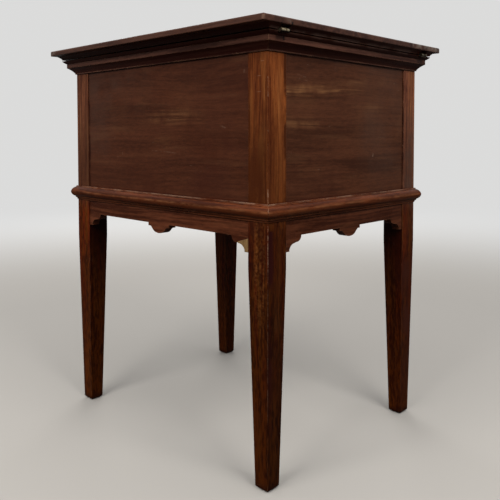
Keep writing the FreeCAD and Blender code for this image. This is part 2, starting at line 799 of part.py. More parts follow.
def makeLock():
    """Link lock: the eyes of the lid's plate drop through the selvedge, and the bolt slides through them."""
    z0 = "%s-lockHigh" % zGap
    y0 = "%s-lockThick/2" % lockY
    shell = box("lockShell", "lockWidth", "lockThick", "lockHigh", "-lockWidth/2", y0, z0)
    cavityZ = "(%s+lockFloor)" % z0
    cavity = box("lockCavity", "lockWidth-2*lockWall", "lockThick-2*lockWall", "lockHigh",
                 "-lockWidth/2+lockWall", y0 + "+lockWall", cavityZ)
    keep("lock_case", cut("lockCaseCut", shell, cavity, keyhole("lockKeyhole", "0")))
    plateAt = ("-selvedgeLength/2", "%s-lockThick/2" % lockY)
    selvedge = box("selvedgePlate", "selvedgeLength", "lockThick", "leafThick", *plateAt, zGap)
    slotX = "(eyeThick+2*slotPlay)"
    slotY = "(eyeWide+2*slotPlay)"
    slots, eyes, eyeHoles = [], [], []
    eyeLow = "(%s-eyeDrop)" % leafUnderZ
    for hand, x in (("Left", "-eyeSpread"), ("Right", "eyeSpread")):
        slots.append(box("selvedgeSlot" + hand, slotX, slotY, "3*leafThick",
                         "%s-%s/2" % (x, slotX), "%s-%s/2" % (lockY, slotY), zGap + "-leafThick"))
        eyes.append(box("eye" + hand, "eyeThick", "eyeWide", "eyeDrop+leafThick/2",
                        x + "-eyeThick/2", lockY + "-eyeWide/2", eyeLow))
        eyeHoles.append(box("eyeHole" + hand, "2*eyeThick", "eyeHoleWide", "eyeHoleHigh",
                            x + "-eyeThick", lockY + "-eyeHoleWide/2", eyeLow + "+eyeSill"))
    keep("lock_selvedge", cut("selvedgeCut", selvedge, *slots))
    plate = box("linkPlate", "selvedgeLength", "lockThick", "leafThick", *plateAt, leafUnderZ)
    whole = fuse("linkPlateWhole", plate, *eyes)
    keep("lock_link_plate", cut("linkPlateCut", whole, *eyeHoles))
    # The bolt: a bar that slides along the lock's floor, with two posts whose fingers enter the eyes.
    barThick = "(lockThick-2*lockWall-2*lockPlay)"
    fingerThick = "(eyeHoleWide-2*lockPlay)"
    fingerHigh = "(eyeHoleHigh-2*lockPlay)"
    fingerLow = "(%s+eyeSill+lockPlay)" % eyeLow
    barZ = "(%s+lockPlay)" % cavityZ
    back = "(eyeThick/2+boltStandOff+boltFinger+boltPost)"
    tip = "(eyeThick/2+boltStandOff)"
    pieces = [box("boltBar", "2*eyeSpread+boltPost", barThick, "boltHigh",
                  "-eyeSpread-%s" % back, "%s-%s/2" % (lockY, barThick), barZ)]
    for hand, x in (("Left", "-eyeSpread"), ("Right", "eyeSpread")):
        y = "%s-%s/2" % (lockY, fingerThick)
        tall = "(%s+%s)-(%s)" % (fingerLow, fingerHigh, barZ)
        pieces.append(box("boltPost" + hand, "boltPost", fingerThick, tall, "%s-%s" % (x, back), y, barZ))
        pieces.append(box("boltFinger" + hand, "%s-%s" % (back, tip), fingerThick, fingerHigh,
                          "%s-%s" % (x, back), y, fingerLow))
    keep("lock_bolt", fuse("boltWhole", *pieces))
    ring = keyhole("escutcheonOuter", "escutcheonWall")
    hole = keyhole("escutcheonInner", "0")
    reach = "(panelThick-lockThick+escutcheonProud)"
    window = box("escutcheonWindow", "10*keyholeRadius", reach, "10*keyholeRadius", "-5*keyholeRadius",
                 "-caseDepth/2+panelRecess-escutcheonProud", "%s-keyholeDown-5*keyholeRadius" % zGap)
    keep("keyhole_escutcheon", cut("escutcheonCut", common("escutcheonCommon", ring, window), hole))


# Stay


def arm(name, x, y, z):
    """A flat arm with round ends and a hole at each pivot. It runs towards -Y from its first pivot."""
    bar = box(name + "Bar", "armThick", "stayReach", "armWide", x, "%s-stayReach" % y, z + "-armWide/2")
    ends, bores = [], []
    for place, at in (("Near", y), ("Far", "%s-stayReach" % y)):
        ends.append(cylinder(name + "End" + place, "x", "armWide/2", "armThick", x, at, z))
        start = x + "-armThick"
        bores.append(cylinder(name + "Bore" + place, "x", "rivetRadius+pinPlay", "3*armThick", start, at, z))
    return cut(name, fuse(name + "Whole", bar, *ends), *bores)


def rivet(name, low, high, y, z):
    """A rivet along X from low to high, with a flat head a running gap outside each end."""
    length = "((%s)-(%s)+2*armGap)" % (high, low)
    start = "%s-armGap" % low
    shank = cylinder(name + "Shank", "x", "rivetRadius", length, start, y, z)
    first = cylinder(name + "HeadLow", "x", "rivetHead", "rivetHeadThick", start + "-rivetHeadThick", y, z)
    last = cylinder(name + "HeadHigh", "x", "rivetHead", "rivetHeadThick", start + "+" + length, y, z)
    return fuse(name, shank, first, last)


def makeStay():
    """The hinge axis, the two end pivots and the elbow are the corners of a rhombus, so the lower arm stays
    parallel to the lid, and the upper arm keeps its direction."""
    # lower arm: pivots on the case plate, level while the lid is shut
    keep("stay_lower_arm", arm("lowerArm", lowerArmX, caseRivetY, caseRivetZ))
    # upper arm: built level about the origin, then tilted to meet the elbow
    upper = arm("upperArm", "0", "0", "0")
    turn(upper, FreeCAD.Vector(1, 0, 0), valueOf("asin(stayDrop/stayReach)"))
    upper.setExpression("Placement.Rotation.Angle", linked("asin(stayDrop/stayReach)"))
    move(upper, upperArmX, lidRivetY, zAxis)
    keep("stay_upper_arm", upper)
    elbowY = "%s-stayReach" % caseRivetY
    keep("stay_elbow_rivet", rivet("elbowRivet", upperArmX, lowerArmX + "+armThick", elbowY, caseRivetZ))
    # case plate with the stop that the lower arm meets when the lid is open
    high = "(plateDown+plateUp)"
    deep = "(plateForward+plateBack)"
    at = (plateX, caseRivetY + "-plateForward", caseRivetZ + "-plateDown")
    plate = box("stayPlate", "plateThick", deep, high, *at)
    off = "(armWide/2+stopRadius+armGap)"
    stopY = "%s+stopAlong*sin(lidOpenAngle-90)+%s*cos(lidOpenAngle-90)" % (caseRivetY, off)
    stopZ = "%s+stopAlong*cos(lidOpenAngle-90)-%s*sin(lidOpenAngle-90)" % (caseRivetZ, off)
    peg = cylinder("stayStop", "x", "stopRadius", "armThick+armGap+plateThick/2", lowerArmX, stopY, stopZ)
    at = (plateX + "-plateThick/2", caseRivetY, caseRivetZ)
    pivotHole = cylinder("plateBore", "x", "rivetRadius", "2*plateThick", *at)
    keep("stay_case_plate", cut("stayPlateCut", fuse("stayPlateWhole", plate, peg), pivotHole))
    shank = cylinder("caseRivetShank", "x", "rivetRadius", "armThick+2*armGap+plateThick",
                     lowerArmX + "-armGap", caseRivetY, caseRivetZ)
    head = cylinder("caseRivetHead", "x", "rivetHead", "rivetHeadThick",
                    lowerArmX + "-armGap-rivetHeadThick", caseRivetY, caseRivetZ)
    keep("stay_case_rivet", fuse("caseRivet", shank, head))
    # lid bracket: a foot under the lid board and an ear down to the pivot
    foot = box("bracketFoot", "bracketFoot", "bracketLength", "plateThick",
               bracketX + "+plateThick-bracketFoot", lidRivetY + "-bracketLength/2", bracketZ)
    earHigh = "%s-%s" % (zLid, zAxis)
    ear = box("bracketEar", "plateThick", "armWide", earHigh, bracketX, lidRivetY + "-armWide/2", zAxis)
    earEnd = cylinder("bracketEarEnd", "x", "armWide/2", "plateThick", bracketX, lidRivetY, zAxis)
    at = (bracketX + "-plateThick", lidRivetY, zAxis)
    bore = cylinder("bracketBore", "x", "rivetRadius", "3*plateThick", *at)
    whole = fuse("bracketWhole", foot, ear, earEnd)
    keep("stay_lid_bracket", cut("bracketCut", whole, bore))
    shank = cylinder("lidRivetShank", "x", "rivetRadius", "armThick+2*armGap+plateThick",
                     upperArmX + "-armGap", lidRivetY, zAxis)
    head = cylinder("lidRivetHead", "x", "rivetHead", "rivetHeadThick",
                    upperArmX + "-armGap-rivetHeadThick", lidRivetY, zAxis)
    at = (bracketX + "+plateThick", lidRivetY, zAxis)
    tail = cylinder("lidRivetTail", "x", "rivetHead", "rivetHeadThick/2", *at)
    keep("stay_lid_rivet", fuse("lidRivet", shank, head, tail))


makePosts()
makePanels()
makeAprons()
makeWaist()
makeCornice()
makeCapStrips()
makeLidMouldings()
makeLidBoard()
makeBottom()
makeDividers()
makeHinges()
makeLock()
makeStay()
doc.recompute()

faults = []
for thing in doc.Objects:
    if "Invalid" in thing.State or "Error" in thing.State:
        faults.append("%s: %s" % (thing.Name, thing.State))
for name, thing in nodes.items():
    shape = thing.Shape
    if shape.isNull() or not shape.isValid():
        faults.append("%s: no valid shape" % name)
    elif len(shape.Solids) != 1:
        faults.append("%s: %d solids" % (name, len(shape.Solids)))
if faults:
    print("\n".join(faults))
    sys.exit(1)

os.makedirs("parts", exist_ok=True)
for name, thing in nodes.items():
    thing.Shape.exportStep("parts/%s.step" % name)
    bounds = thing.Shape.BoundBox
    lows = (bounds.XMin, bounds.YMin, bounds.ZMin)
    highs = (bounds.XMax, bounds.YMax, bounds.ZMax)
    spans = " ".join("%.1f..%.1f" % pair for pair in zip(lows, highs))
    print("%-24s %9.0f mm3  %s" % (name, thing.Shape.Volume, spans))
print(len(nodes), "nodes")
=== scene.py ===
import json
import math

import bmesh
import bpy
from mathutils import Matrix, Vector


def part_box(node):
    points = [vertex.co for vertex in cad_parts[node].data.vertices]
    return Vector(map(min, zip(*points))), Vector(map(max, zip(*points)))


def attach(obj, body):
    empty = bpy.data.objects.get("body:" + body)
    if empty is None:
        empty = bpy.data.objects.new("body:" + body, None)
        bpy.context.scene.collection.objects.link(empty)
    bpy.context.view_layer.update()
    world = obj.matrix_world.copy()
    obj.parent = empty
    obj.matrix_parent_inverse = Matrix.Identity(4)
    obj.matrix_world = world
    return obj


# A mahogany cellarette on tapered legs, in metres. +Z up, hinges at +Y, lock at -Y.
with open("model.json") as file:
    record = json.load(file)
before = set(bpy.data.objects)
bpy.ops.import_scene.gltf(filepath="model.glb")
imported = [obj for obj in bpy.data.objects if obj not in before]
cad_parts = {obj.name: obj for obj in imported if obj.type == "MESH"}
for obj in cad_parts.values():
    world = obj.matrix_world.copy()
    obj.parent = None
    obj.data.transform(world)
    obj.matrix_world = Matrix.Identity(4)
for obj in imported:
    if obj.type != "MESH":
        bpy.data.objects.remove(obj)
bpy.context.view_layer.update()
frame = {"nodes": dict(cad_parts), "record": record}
print("frame loaded with", len(frame["nodes"]), "pieces")


# small helpers for shader trees

def addNode(tree, kind, inputs=None, **settings):
    node = tree.nodes.new(kind)
    for name, value in settings.items():
        setattr(node, name, value)
    for name, value in (inputs or {}).items():
        socket = node.inputs[name]
        if isinstance(value, bpy.types.NodeSocket):
            tree.links.new(value, socket)
        else:
            socket.default_value = value
    return node


def mathNode(tree, operation, a, b=0.0, clamp=False):
    return addNode(tree, "ShaderNodeMath", {0: a, 1: b}, operation=operation, use_clamp=clamp).outputs[0]


def rangeNode(tree, value, low, high, toLow=0.0, toHigh=1.0, smooth=True):
    kind = "SMOOTHSTEP" if smooth else "LINEAR"
    inputs = {"Value": value, "From Min": low, "From Max": high, "To Min": toLow, "To Max": toHigh}
    return addNode(tree, "ShaderNodeMapRange", inputs, interpolation_type=kind).outputs["Result"]


def mixColour(tree, factor, a, b, blend="MIX"):
    inputs = {0: factor, 6: a, 7: b}  # the colours of a mix node are its inputs 6 and 7 and its output 2
    return addNode(tree, "ShaderNodeMix", inputs, data_type="RGBA", blend_type=blend).outputs[2]


def tintNode(tree, colour, value, saturation=1.0):
    inputs = {"Value": value, "Saturation": saturation, "Color": colour}
    return addNode(tree, "ShaderNodeHueSaturation", inputs).outputs[0]


def vectorMath(tree, operation, a, b=(0, 0, 0)):
    node = addNode(tree, "ShaderNodeVectorMath", {0: a, 1: b}, operation=operation)
    return node.outputs["Value" if operation in ("DOT_PRODUCT", "LENGTH") else "Vector"]


def scaleVector(tree, vector, factor):
    return addNode(tree, "ShaderNodeVectorMath", {0: vector, "Scale": factor}, operation="SCALE").outputs[0]


def axisOf(tree, vector, axis):
    return addNode(tree, "ShaderNodeSeparateXYZ", {0: vector}).outputs[axis]


def ownNormal(tree):
    true = addNode(tree, "ShaderNodeNewGeometry").outputs["True Normal"]
    return addNode(tree, "ShaderNodeVectorTransform", {0: true}, vector_type="NORMAL", convert_from="WORLD",
                   convert_to="OBJECT").outputs[0]


def noiseNode(tree, vector, scale, detail=2.0, roughness=0.5, output="Fac"):
    inputs = {"Vector": vector, "Scale": scale, "Detail": detail, "Roughness": roughness}
    return addNode(tree, "ShaderNodeTexNoise", inputs).outputs[output]


def patchNoise(tree, vector, scale):
    return noiseNode(tree, vector, scale, detail=3.0, roughness=0.6)


def stretchNode(tree, vector, scale, location=(0, 0, 0)):
    inputs = {"Vector": vector, "Scale": scale, "Location": location}
    return addNode(tree, "ShaderNodeMapping", inputs).outputs["Vector"]


def bevelNormal(tree, radius, samples):
    return addNode(tree, "ShaderNodeBevel", {"Radius": radius}, samples=samples).outputs[0]


def pieceValue(tree, name):
    return addNode(tree, "ShaderNodeAttribute", attribute_type="OBJECT", attribute_name=name).outputs["Fac"]


def newGroup(name, inputs, outputs):
    tree = bpy.data.node_groups.new(name, "ShaderNodeTree")
    for socketName, kind, default in inputs:
        socket = tree.interface.new_socket(socketName, in_out="INPUT", socket_type="NodeSocket" + kind)
        if default is not None:
            socket.default_value = default
    for socketName, kind in outputs:
        tree.interface.new_socket(socketName, in_out="OUTPUT", socket_type="NodeSocket" + kind)
    source = tree.nodes.new("NodeGroupInput").outputs
    sink = tree.nodes.new("NodeGroupOutput").inputs
    return tree, source, sink


def placeGroup(tree, group, inputs):
    return addNode(tree, "ShaderNodeGroup", inputs, node_tree=group).outputs


# effects that several finishes share

# layers of the grain: waves per metre along and across it, then the noise's detail and roughness
grainWaves = {
    "wander": (2.6, 7.0, 1.0, 0.5), "figure": (2.3, 30.0, 3.0, 0.55), "ribbon": (4.5, 190.0, 2.0, 0.6),
    "fleck": (70.0, 330.0, 1.0, 0.5), "pores": (80.0, 1500.0, 1.0, 0.5), "streak": (5.0, 62.0, 2.0, 0.5),
    "polish": (9.0, 16.0, 3.0, 0.6),
}
grainPlaces = {"streak": (3.1, 7.7, 1.3), "polish": (5.0, 2.0, 8.0)}  # so that no two layers coincide
grainSteps = {
    "drift": 0.034, "tone": (0.36, 0.64), "streak": (0.58, 0.72), "pores": (0.56, 0.70), "polish": (0.3, 0.7),
    "ribbonHeight": 0.35, "poreColour": (0.006, 0.003, 0.0015, 1),
}


def makeGrainGroup():
    tree, source, sink = newGroup(
        "polishedGrain",
        [("Vector", "Vector", None), ("Shift", "Float", 0.0), ("Dark", "Color", (0, 0, 0, 1)),
         ("Light", "Color", (1, 1, 1, 1)), ("Streak", "Color", (1, 1, 1, 1)), ("Figure", "Float", 0.5),
         ("Ribbon", "Float", 0.5), ("Fleck", "Float", 0.3), ("Pores", "Float", 0.5),
         ("Streaks", "Float", 0.2)],
        [("Color", "Color"), ("Ribbon", "Float"), ("Height", "Float"), ("Polish", "Float")])

    def layer(vector, name):
        along, across, detail, roughness = grainWaves[name]
        stretched = stretchNode(tree, vector, (along, across, across), grainPlaces.get(name, (0, 0, 0)))
        return noiseNode(tree, stretched, 1.0, detail, roughness)

    # each piece is cut from another part of the plank
    offset = addNode(tree, "ShaderNodeCombineXYZ", {name: source["Shift"] for name in "XYZ"}).outputs[0]
    moved = vectorMath(tree, "ADD", source["Vector"], offset)
    # the grain wanders a little on its way along the plank
    wander = mathNode(tree, "SUBTRACT", layer(moved, "wander"), 0.5)
    drift = mathNode(tree, "MULTIPLY", wander, grainSteps["drift"])
    driftVector = addNode(tree, "ShaderNodeCombineXYZ", {"Y": drift, "Z": drift}).outputs[0]
    bent = vectorMath(tree, "ADD", moved, driftVector)
    figure, ribbon, fleck = (layer(bent, name) for name in ("figure", "ribbon", "fleck"))
    tone = 0.5
    for part, name in ((figure, "Figure"), (ribbon, "Ribbon"), (fleck, "Fleck")):
        centred = mathNode(tree, "SUBTRACT", rangeNode(tree, part, *grainSteps["tone"]), 0.5)
        tone = mathNode(tree, "ADD", mathNode(tree, "MULTIPLY", centred, source[name]), tone)
    colour = mixColour(tree, mathNode(tree, "ADD", tone, 0.0, clamp=True), source["Dark"], source["Light"])
    streak = rangeNode(tree, layer(bent, "streak"), *grainSteps["streak"])
    colour = mixColour(tree, mathNode(tree, "MULTIPLY", streak, source["Streaks"]), colour, source["Streak"])
    pores = rangeNode(tree, layer(bent, "pores"), *grainSteps["pores"])
    poreMask = mathNode(tree, "MULTIPLY", pores, source["Pores"])
    colour = mixColour(tree, poreMask, colour, grainSteps["poreColour"])
    height = mathNode(tree, "MULTIPLY", ribbon, grainSteps["ribbonHeight"])
    tree.links.new(colour, sink["Color"])
    tree.links.new(ribbon, sink["Ribbon"])
    tree.links.new(mathNode(tree, "SUBTRACT", height, poreMask), sink["Height"])
    tree.links.new(rangeNode(tree, layer(moved, "polish"), *grainSteps["polish"]), sink["Polish"])
    return tree


wearSteps = {
    "samples": 6, "edge": (0.995, 0.86), "patch": (0.40, 0.62), "chipWaves": 260.0, "chip": (0.64, 0.70),
}


def makeWearGroup():
    tree, source, sink = newGroup(
        "rubbedEdges",
        [("Vector", "Vector", None), ("Width", "Float", 0.0012), ("Amount", "Float", 0.5),
         ("Patch", "Float", 40.0)],
        [("Edge", "Float"), ("Chip", "Float")])
    # an edge is where a rounded normal leaves the true one
    rounded = bevelNormal(tree, source["Width"], wearSteps["samples"])
    true = addNode(tree, "ShaderNodeNewGeometry").outputs["True Normal"]
    edge = rangeNode(tree, vectorMath(tree, "DOT_PRODUCT", rounded, true), *wearSteps["edge"])
    patch = patchNoise(tree, source["Vector"], source["Patch"])
    rubbed = mathNode(tree, "MULTIPLY", edge, rangeNode(tree, patch, *wearSteps["patch"]))
    tree.links.new(mathNode(tree, "MULTIPLY", rubbed, source["Amount"]), sink["Edge"])
    fine = noiseNode(tree, source["Vector"], wearSteps["chipWaves"], 2.0, 0.6)
    chip = mathNode(tree, "MULTIPLY", edge, rangeNode(tree, fine, *wearSteps["chip"]))
    tree.links.new(mathNode(tree, "MULTIPLY", chip, source["Amount"]), sink["Chip"])
    return tree


grimeAndShadeSteps = {
    "samples": 8, "patchWaves": 55.0, "patch": (0.2, 0.8, 0.6, 1.0), "closed": (0.88, 0.42),
    "slope": (-0.12, -0.55),
}


def makeGrimeAndShadeGroup():
    tree, source, sink = newGroup(
        "oldPolishAndPaintedShadeInCorners",
        [("Vector", "Vector", None), ("Reach", "Float", 0.012), ("Amount", "Float", 0.6),
         ("UnderShade", "Float", 0.0)],
        [("GrimeAndShade", "Float")])
    # closed recesses are darkened in uneven patches: partly old polish in the corners, partly painted shade
    openness = addNode(tree, "ShaderNodeAmbientOcclusion", {"Distance": source["Reach"]},
                       samples=grimeAndShadeSteps["samples"]).outputs["AO"]
    patch = patchNoise(tree, source["Vector"], grimeAndShadeSteps["patchWaves"])
    closed = rangeNode(tree, openness, *grimeAndShadeSteps["closed"])
    uneven = mathNode(tree, "MULTIPLY", closed, rangeNode(tree, patch, *grimeAndShadeSteps["patch"]))
    # painted shade: surfaces that face down are darkened
    slope = rangeNode(tree, axisOf(tree, ownNormal(tree), "Z"), *grimeAndShadeSteps["slope"])
    under = mathNode(tree, "MULTIPLY", slope, source["UnderShade"])
    both = mathNode(tree, "MAXIMUM", mathNode(tree, "MULTIPLY", uneven, source["Amount"]), under)
    tree.links.new(mathNode(tree, "ADD", both, 0.0, clamp=True), sink["GrimeAndShade"])
    return tree


# scratches run along each of the three axes and keep to a few regions: waves per metre, place in the noise
scratchRuns = [
    ((70.0, 900.0, 900.0), (0.3, 0.9, 0.1)),
    ((800.0, 75.0, 800.0), (4.0, 1.7, 2.2)),
    ((800.0, 800.0, 75.0), (8.1, 5.2, 3.3)),
]
scratchSteps = {"line": (0.80, 0.84), "regionWaves": (13.0, 13.0, 13.0), "region": (0.60, 0.68)}


def makeScratchGroup():
    tree, source, sink = newGroup(
        "fineScratches",
        [("Vector", "Vector", None), ("Amount", "Float", 0.3)],
        [("Scratch", "Float")])
    total = 0.0
    for waves, place in scratchRuns:
        line = stretchNode(tree, source["Vector"], waves, place)
        line = rangeNode(tree, noiseNode(tree, line, 1.0, 0.0), *scratchSteps["line"])
        region = stretchNode(tree, source["Vector"], scratchSteps["regionWaves"], place)
        region = rangeNode(tree, noiseNode(tree, region, 1.0, 1.0), *scratchSteps["region"])
        total = mathNode(tree, "MAXIMUM", total, mathNode(tree, "MULTIPLY", line, region))
    tree.links.new(mathNode(tree, "MULTIPLY", total, source["Amount"]), sink["Scratch"])
    return tree


markSteps = {"swayWaves": 70.0, "patch": (0.36, 0.66)}


def makeMarkGroup():
    tree, source, sink = newGroup(
        "strayMark",
        [("Vector", "Vector", None), ("From", "Vector", None), ("To", "Vector", None),
         ("Width", "Float", 0.002), ("Wobble", "Float", 0.001), ("Patch", "Float", 60.0),
         ("Amount", "Float", 0.5), ("Soft", "Float", 0.001)],
        [("Mark", "Float")])
    sway = noiseNode(tree, source["Vector"], markSteps["swayWaves"], output="Color")
    sway = scaleVector(tree, vectorMath(tree, "SUBTRACT", sway, (0.5, 0.5, 0.5)), source["Wobble"])
    swayed = vectorMath(tree, "ADD", source["Vector"], sway)
    # how far along the line between the two points a place lies, and how far from it
    run = vectorMath(tree, "SUBTRACT", source["To"], source["From"])
    reach = vectorMath(tree, "SUBTRACT", swayed, source["From"])
    along = vectorMath(tree, "DOT_PRODUCT", reach, run)
    part = mathNode(tree, "DIVIDE", along, vectorMath(tree, "DOT_PRODUCT", run, run), clamp=True)
    away = vectorMath(tree, "LENGTH", vectorMath(tree, "SUBTRACT", reach, scaleVector(tree, run, part)))
    patch = patchNoise(tree, source["Vector"], source["Patch"])
    near = rangeNode(tree, away, source["Width"], 0.0)
    mark = mathNode(tree, "MULTIPLY", near, rangeNode(tree, patch, *markSteps["patch"]))
    # streaks of the figure die out towards both ends
    for place in (part, mathNode(tree, "SUBTRACT", 1.0, part)):
        mark = mathNode(tree, "MULTIPLY", mark, rangeNode(tree, place, 0.0, source["Soft"], smooth=False))
    tree.links.new(mathNode(tree, "MULTIPLY", mark, source["Amount"]), sink["Mark"])
    return tree


grainGroup = makeGrainGroup()
wearGroup = makeWearGroup()
grimeAndShadeGroup = makeGrimeAndShadeGroup()
scratchGroup = makeScratchGroup()
markGroup = makeMarkGroup()
print("shared effects made")


# wood finishes, with colours from the darkest to the lightest grain
# in each look, grime and its reach darken closed recesses as old polish and painted shade, and under darkens
# faces that face down as painted shade
railLook = {
    "dark": (0.031, 0.0074, 0.0029), "light": (0.088, 0.0255, 0.0108), "streak": (0.10, 0.036, 0.015),
    "figure": 0.60, "ribbon": 0.70, "fleck": 0.25, "pores": 0.35, "streaks": 0.25,
    "rough": 0.32, "shine": 0.07, "wear": 0.70, "grimeAndShade": 0.75, "grimeAndShadeReach": 0.020, "under": 0.66,
}
panelLook = {
    "dark": (0.034, 0.0096, 0.0038), "light": (0.068, 0.0214, 0.0090), "streak": (0.094, 0.037, 0.016),
    "figure": 0.75, "ribbon": 0.45, "fleck": 0.30, "pores": 0.30, "streaks": 0.30,
    "rough": 0.44, "shine": 0.08, "wear": 0.25, "grimeAndShade": 0.85, "grimeAndShadeReach": 0.0045,
}
woods = {
    "mahogany_upright": {
        "along": "Z", "dark": (0.041, 0.0082, 0.0020), "light": (0.128, 0.0352, 0.0088),
        "streak": (0.19, 0.070, 0.018), "figure": 0.45, "ribbon": 0.50, "fleck": 0.20, "legFleck": 0.80,
        "pores": 0.30, "streaks": 0.25,
        "rough": 0.40, "shine": 0.06, "wear": 0.75, "grimeAndShade": 0.90, "grimeAndShadeReach": 0.0045,
    },
    "mahogany_panel_across": dict(panelLook, along="X"),
    "mahogany_panel_along": dict(panelLook, along="Y", dark=(0.035, 0.0093, 0.0037),
                                 light=(0.065, 0.0188, 0.0078), figure=0.58, ribbon=0.38),
    "mahogany_rail_across": dict(railLook, along="X"),
    "mahogany_rail_along": dict(railLook, along="Y"),
    "mahogany_lid": {
        "along": "Y", "dark": (0.023, 0.0076, 0.0046), "light": (0.060, 0.0230, 0.0138),
        "streak": (0.085, 0.034, 0.019), "figure": 0.80, "ribbon": 0.50, "fleck": 0.25,
        "pores": 0.35, "streaks": 0.25,
        "rough": 0.34, "shine": 0.16, "wear": 0.80, "grimeAndShade": 0.90, "grimeAndShadeReach": 0.025,
    },
    "repair_wood": {
        "along": "Z", "dark": (0.112, 0.060, 0.021), "light": (0.21, 0.125, 0.050),
        "streak": (0.25, 0.16, 0.07), "figure": 0.50, "ribbon": 0.60, "fleck": 0.30,
        "pores": 0.35, "streaks": 0.20,
        "rough": 0.60, "shine": 0.20, "wear": 0.30, "grimeAndShade": 0.50, "grimeAndShadeReach": 0.004,
    },
    "inner_wood": {
        "along": "Y", "dark": (0.115, 0.045, 0.018), "light": (0.215, 0.100, 0.045),
        "streak": (0.26, 0.13, 0.06), "figure": 0.60, "ribbon": 0.55, "fleck": 0.30,
        "pores": 0.45, "streaks": 0.20,
        "rough": 0.62, "shine": 0.20, "wear": 0.30, "grimeAndShade": 0.60, "grimeAndShadeReach": 0.012,
    },
}
# what all woods share: scars, sheen, eased arrises, and the dark colour of old polish and painted shade in
# the recesses
surface = {
    "wornColour": (0.27, 0.135, 0.070, 1), "chipColour": (0.50, 0.35, 0.24, 1),
    "grimeAndShadeColour": (0.0255, 0.0013, 0.0003, 1), "wearWidth": 0.0011, "wearPatch": 38.0, "scratch": 0.12,
    "glossier": 0.07, "duller": 0.09,
    "eased": 0.0012, "easedSamples": 4, "bump": 0.25, "bumpDepth": 0.0004,
}
# the legs below the waist, by height above the floor
legTone = {
    "from": 0.445, "to": 0.391, "postPaintedLight": (0.48, 0.64, 0.68, 1.12), "legPaintedLight": (0.25, 0.40, 1.0, 1.42),
    "bandWaves": (95.0, 95.0, 5.0), "bands": (0.40, 0.60), "bandFade": (0.08, 0.30, 0.3, 1.0),
    "olive": (0.55, 0.46, 0.150, 1), "russet": (0.53, 0.27, 0.100, 1),
    "facingYFrom": 0.4, "facingYTo": 0.6, "postSideLight": 1.20, "legSideShade": 0.72,
    "shade": (0.016, 0.0013, 0.0006, 1), "inward": (-0.02, -0.08), "shadeFrom": 0.200, "shadeTo": 0.380,
    "shadeAmount": 0.92, "soleFrom": 0.015, "soleTo": 0.001, "soleAmount": 0.85,
    "gritWaves": 520.0, "grit": (0.60, 0.68), "gritAmount": 0.6,
}

# streaks in the figure and the scars of use, with painted light among them: lip and the gold of the waist
# bead are painted highlights, deep, wine, ruddy and cut are painted shade, and bloom is partly a painted
# reflection
markTones = {
    "sunned": (0.168, 0.072, 0.028, 1), "amber": (0.240, 0.088, 0.024, 1), "scuff": (0.38, 0.25, 0.17, 1),
    "bloomAndReflection": (0.060, 0.034, 0.024, 1), "deepShade": (0.034, 0.0075, 0.0034, 1), "notchShade": (0.006, 0.003, 0.002, 1),
    "joint": (0.012, 0.0018, 0.0009, 1), "dust": (0.160, 0.130, 0.105, 1), "arrisShade": (0.019, 0.0028, 0.0024, 1),
    "beadShade": (0.072, 0.0125, 0.0018, 1), "rust": (0.047, 0.0108, 0.0024, 1), "goldAndHighlight": (0.190, 0.078, 0.032, 1),
    "lipHighlight": (0.080, 0.041, 0.031, 1),
}
# some tones die out towards the ends of their mark, and some keep to the light ribbons of the grain
markLook = {
    "fading": {"sunned", "amber", "bloomAndReflection", "deepShade"}, "fadeShare": 0.4, "sharpShare": 0.001,
    "onRibbon": {"sunned", "amber"}, "ribbon": (0.38, 0.62, 0.15, 1.0),
}
rightFace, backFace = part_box("panel_right")[1].x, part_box("panel_back")[1].y
postRight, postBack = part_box("post_back_right")[1].x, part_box("post_back_right")[1].y
lidRight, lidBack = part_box("lid_board")[1].x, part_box("lid_board")[1].y
lidArrisX, lidArrisY = lidRight - 0.0007, lidBack - 0.0007  # just inside the lid's corner
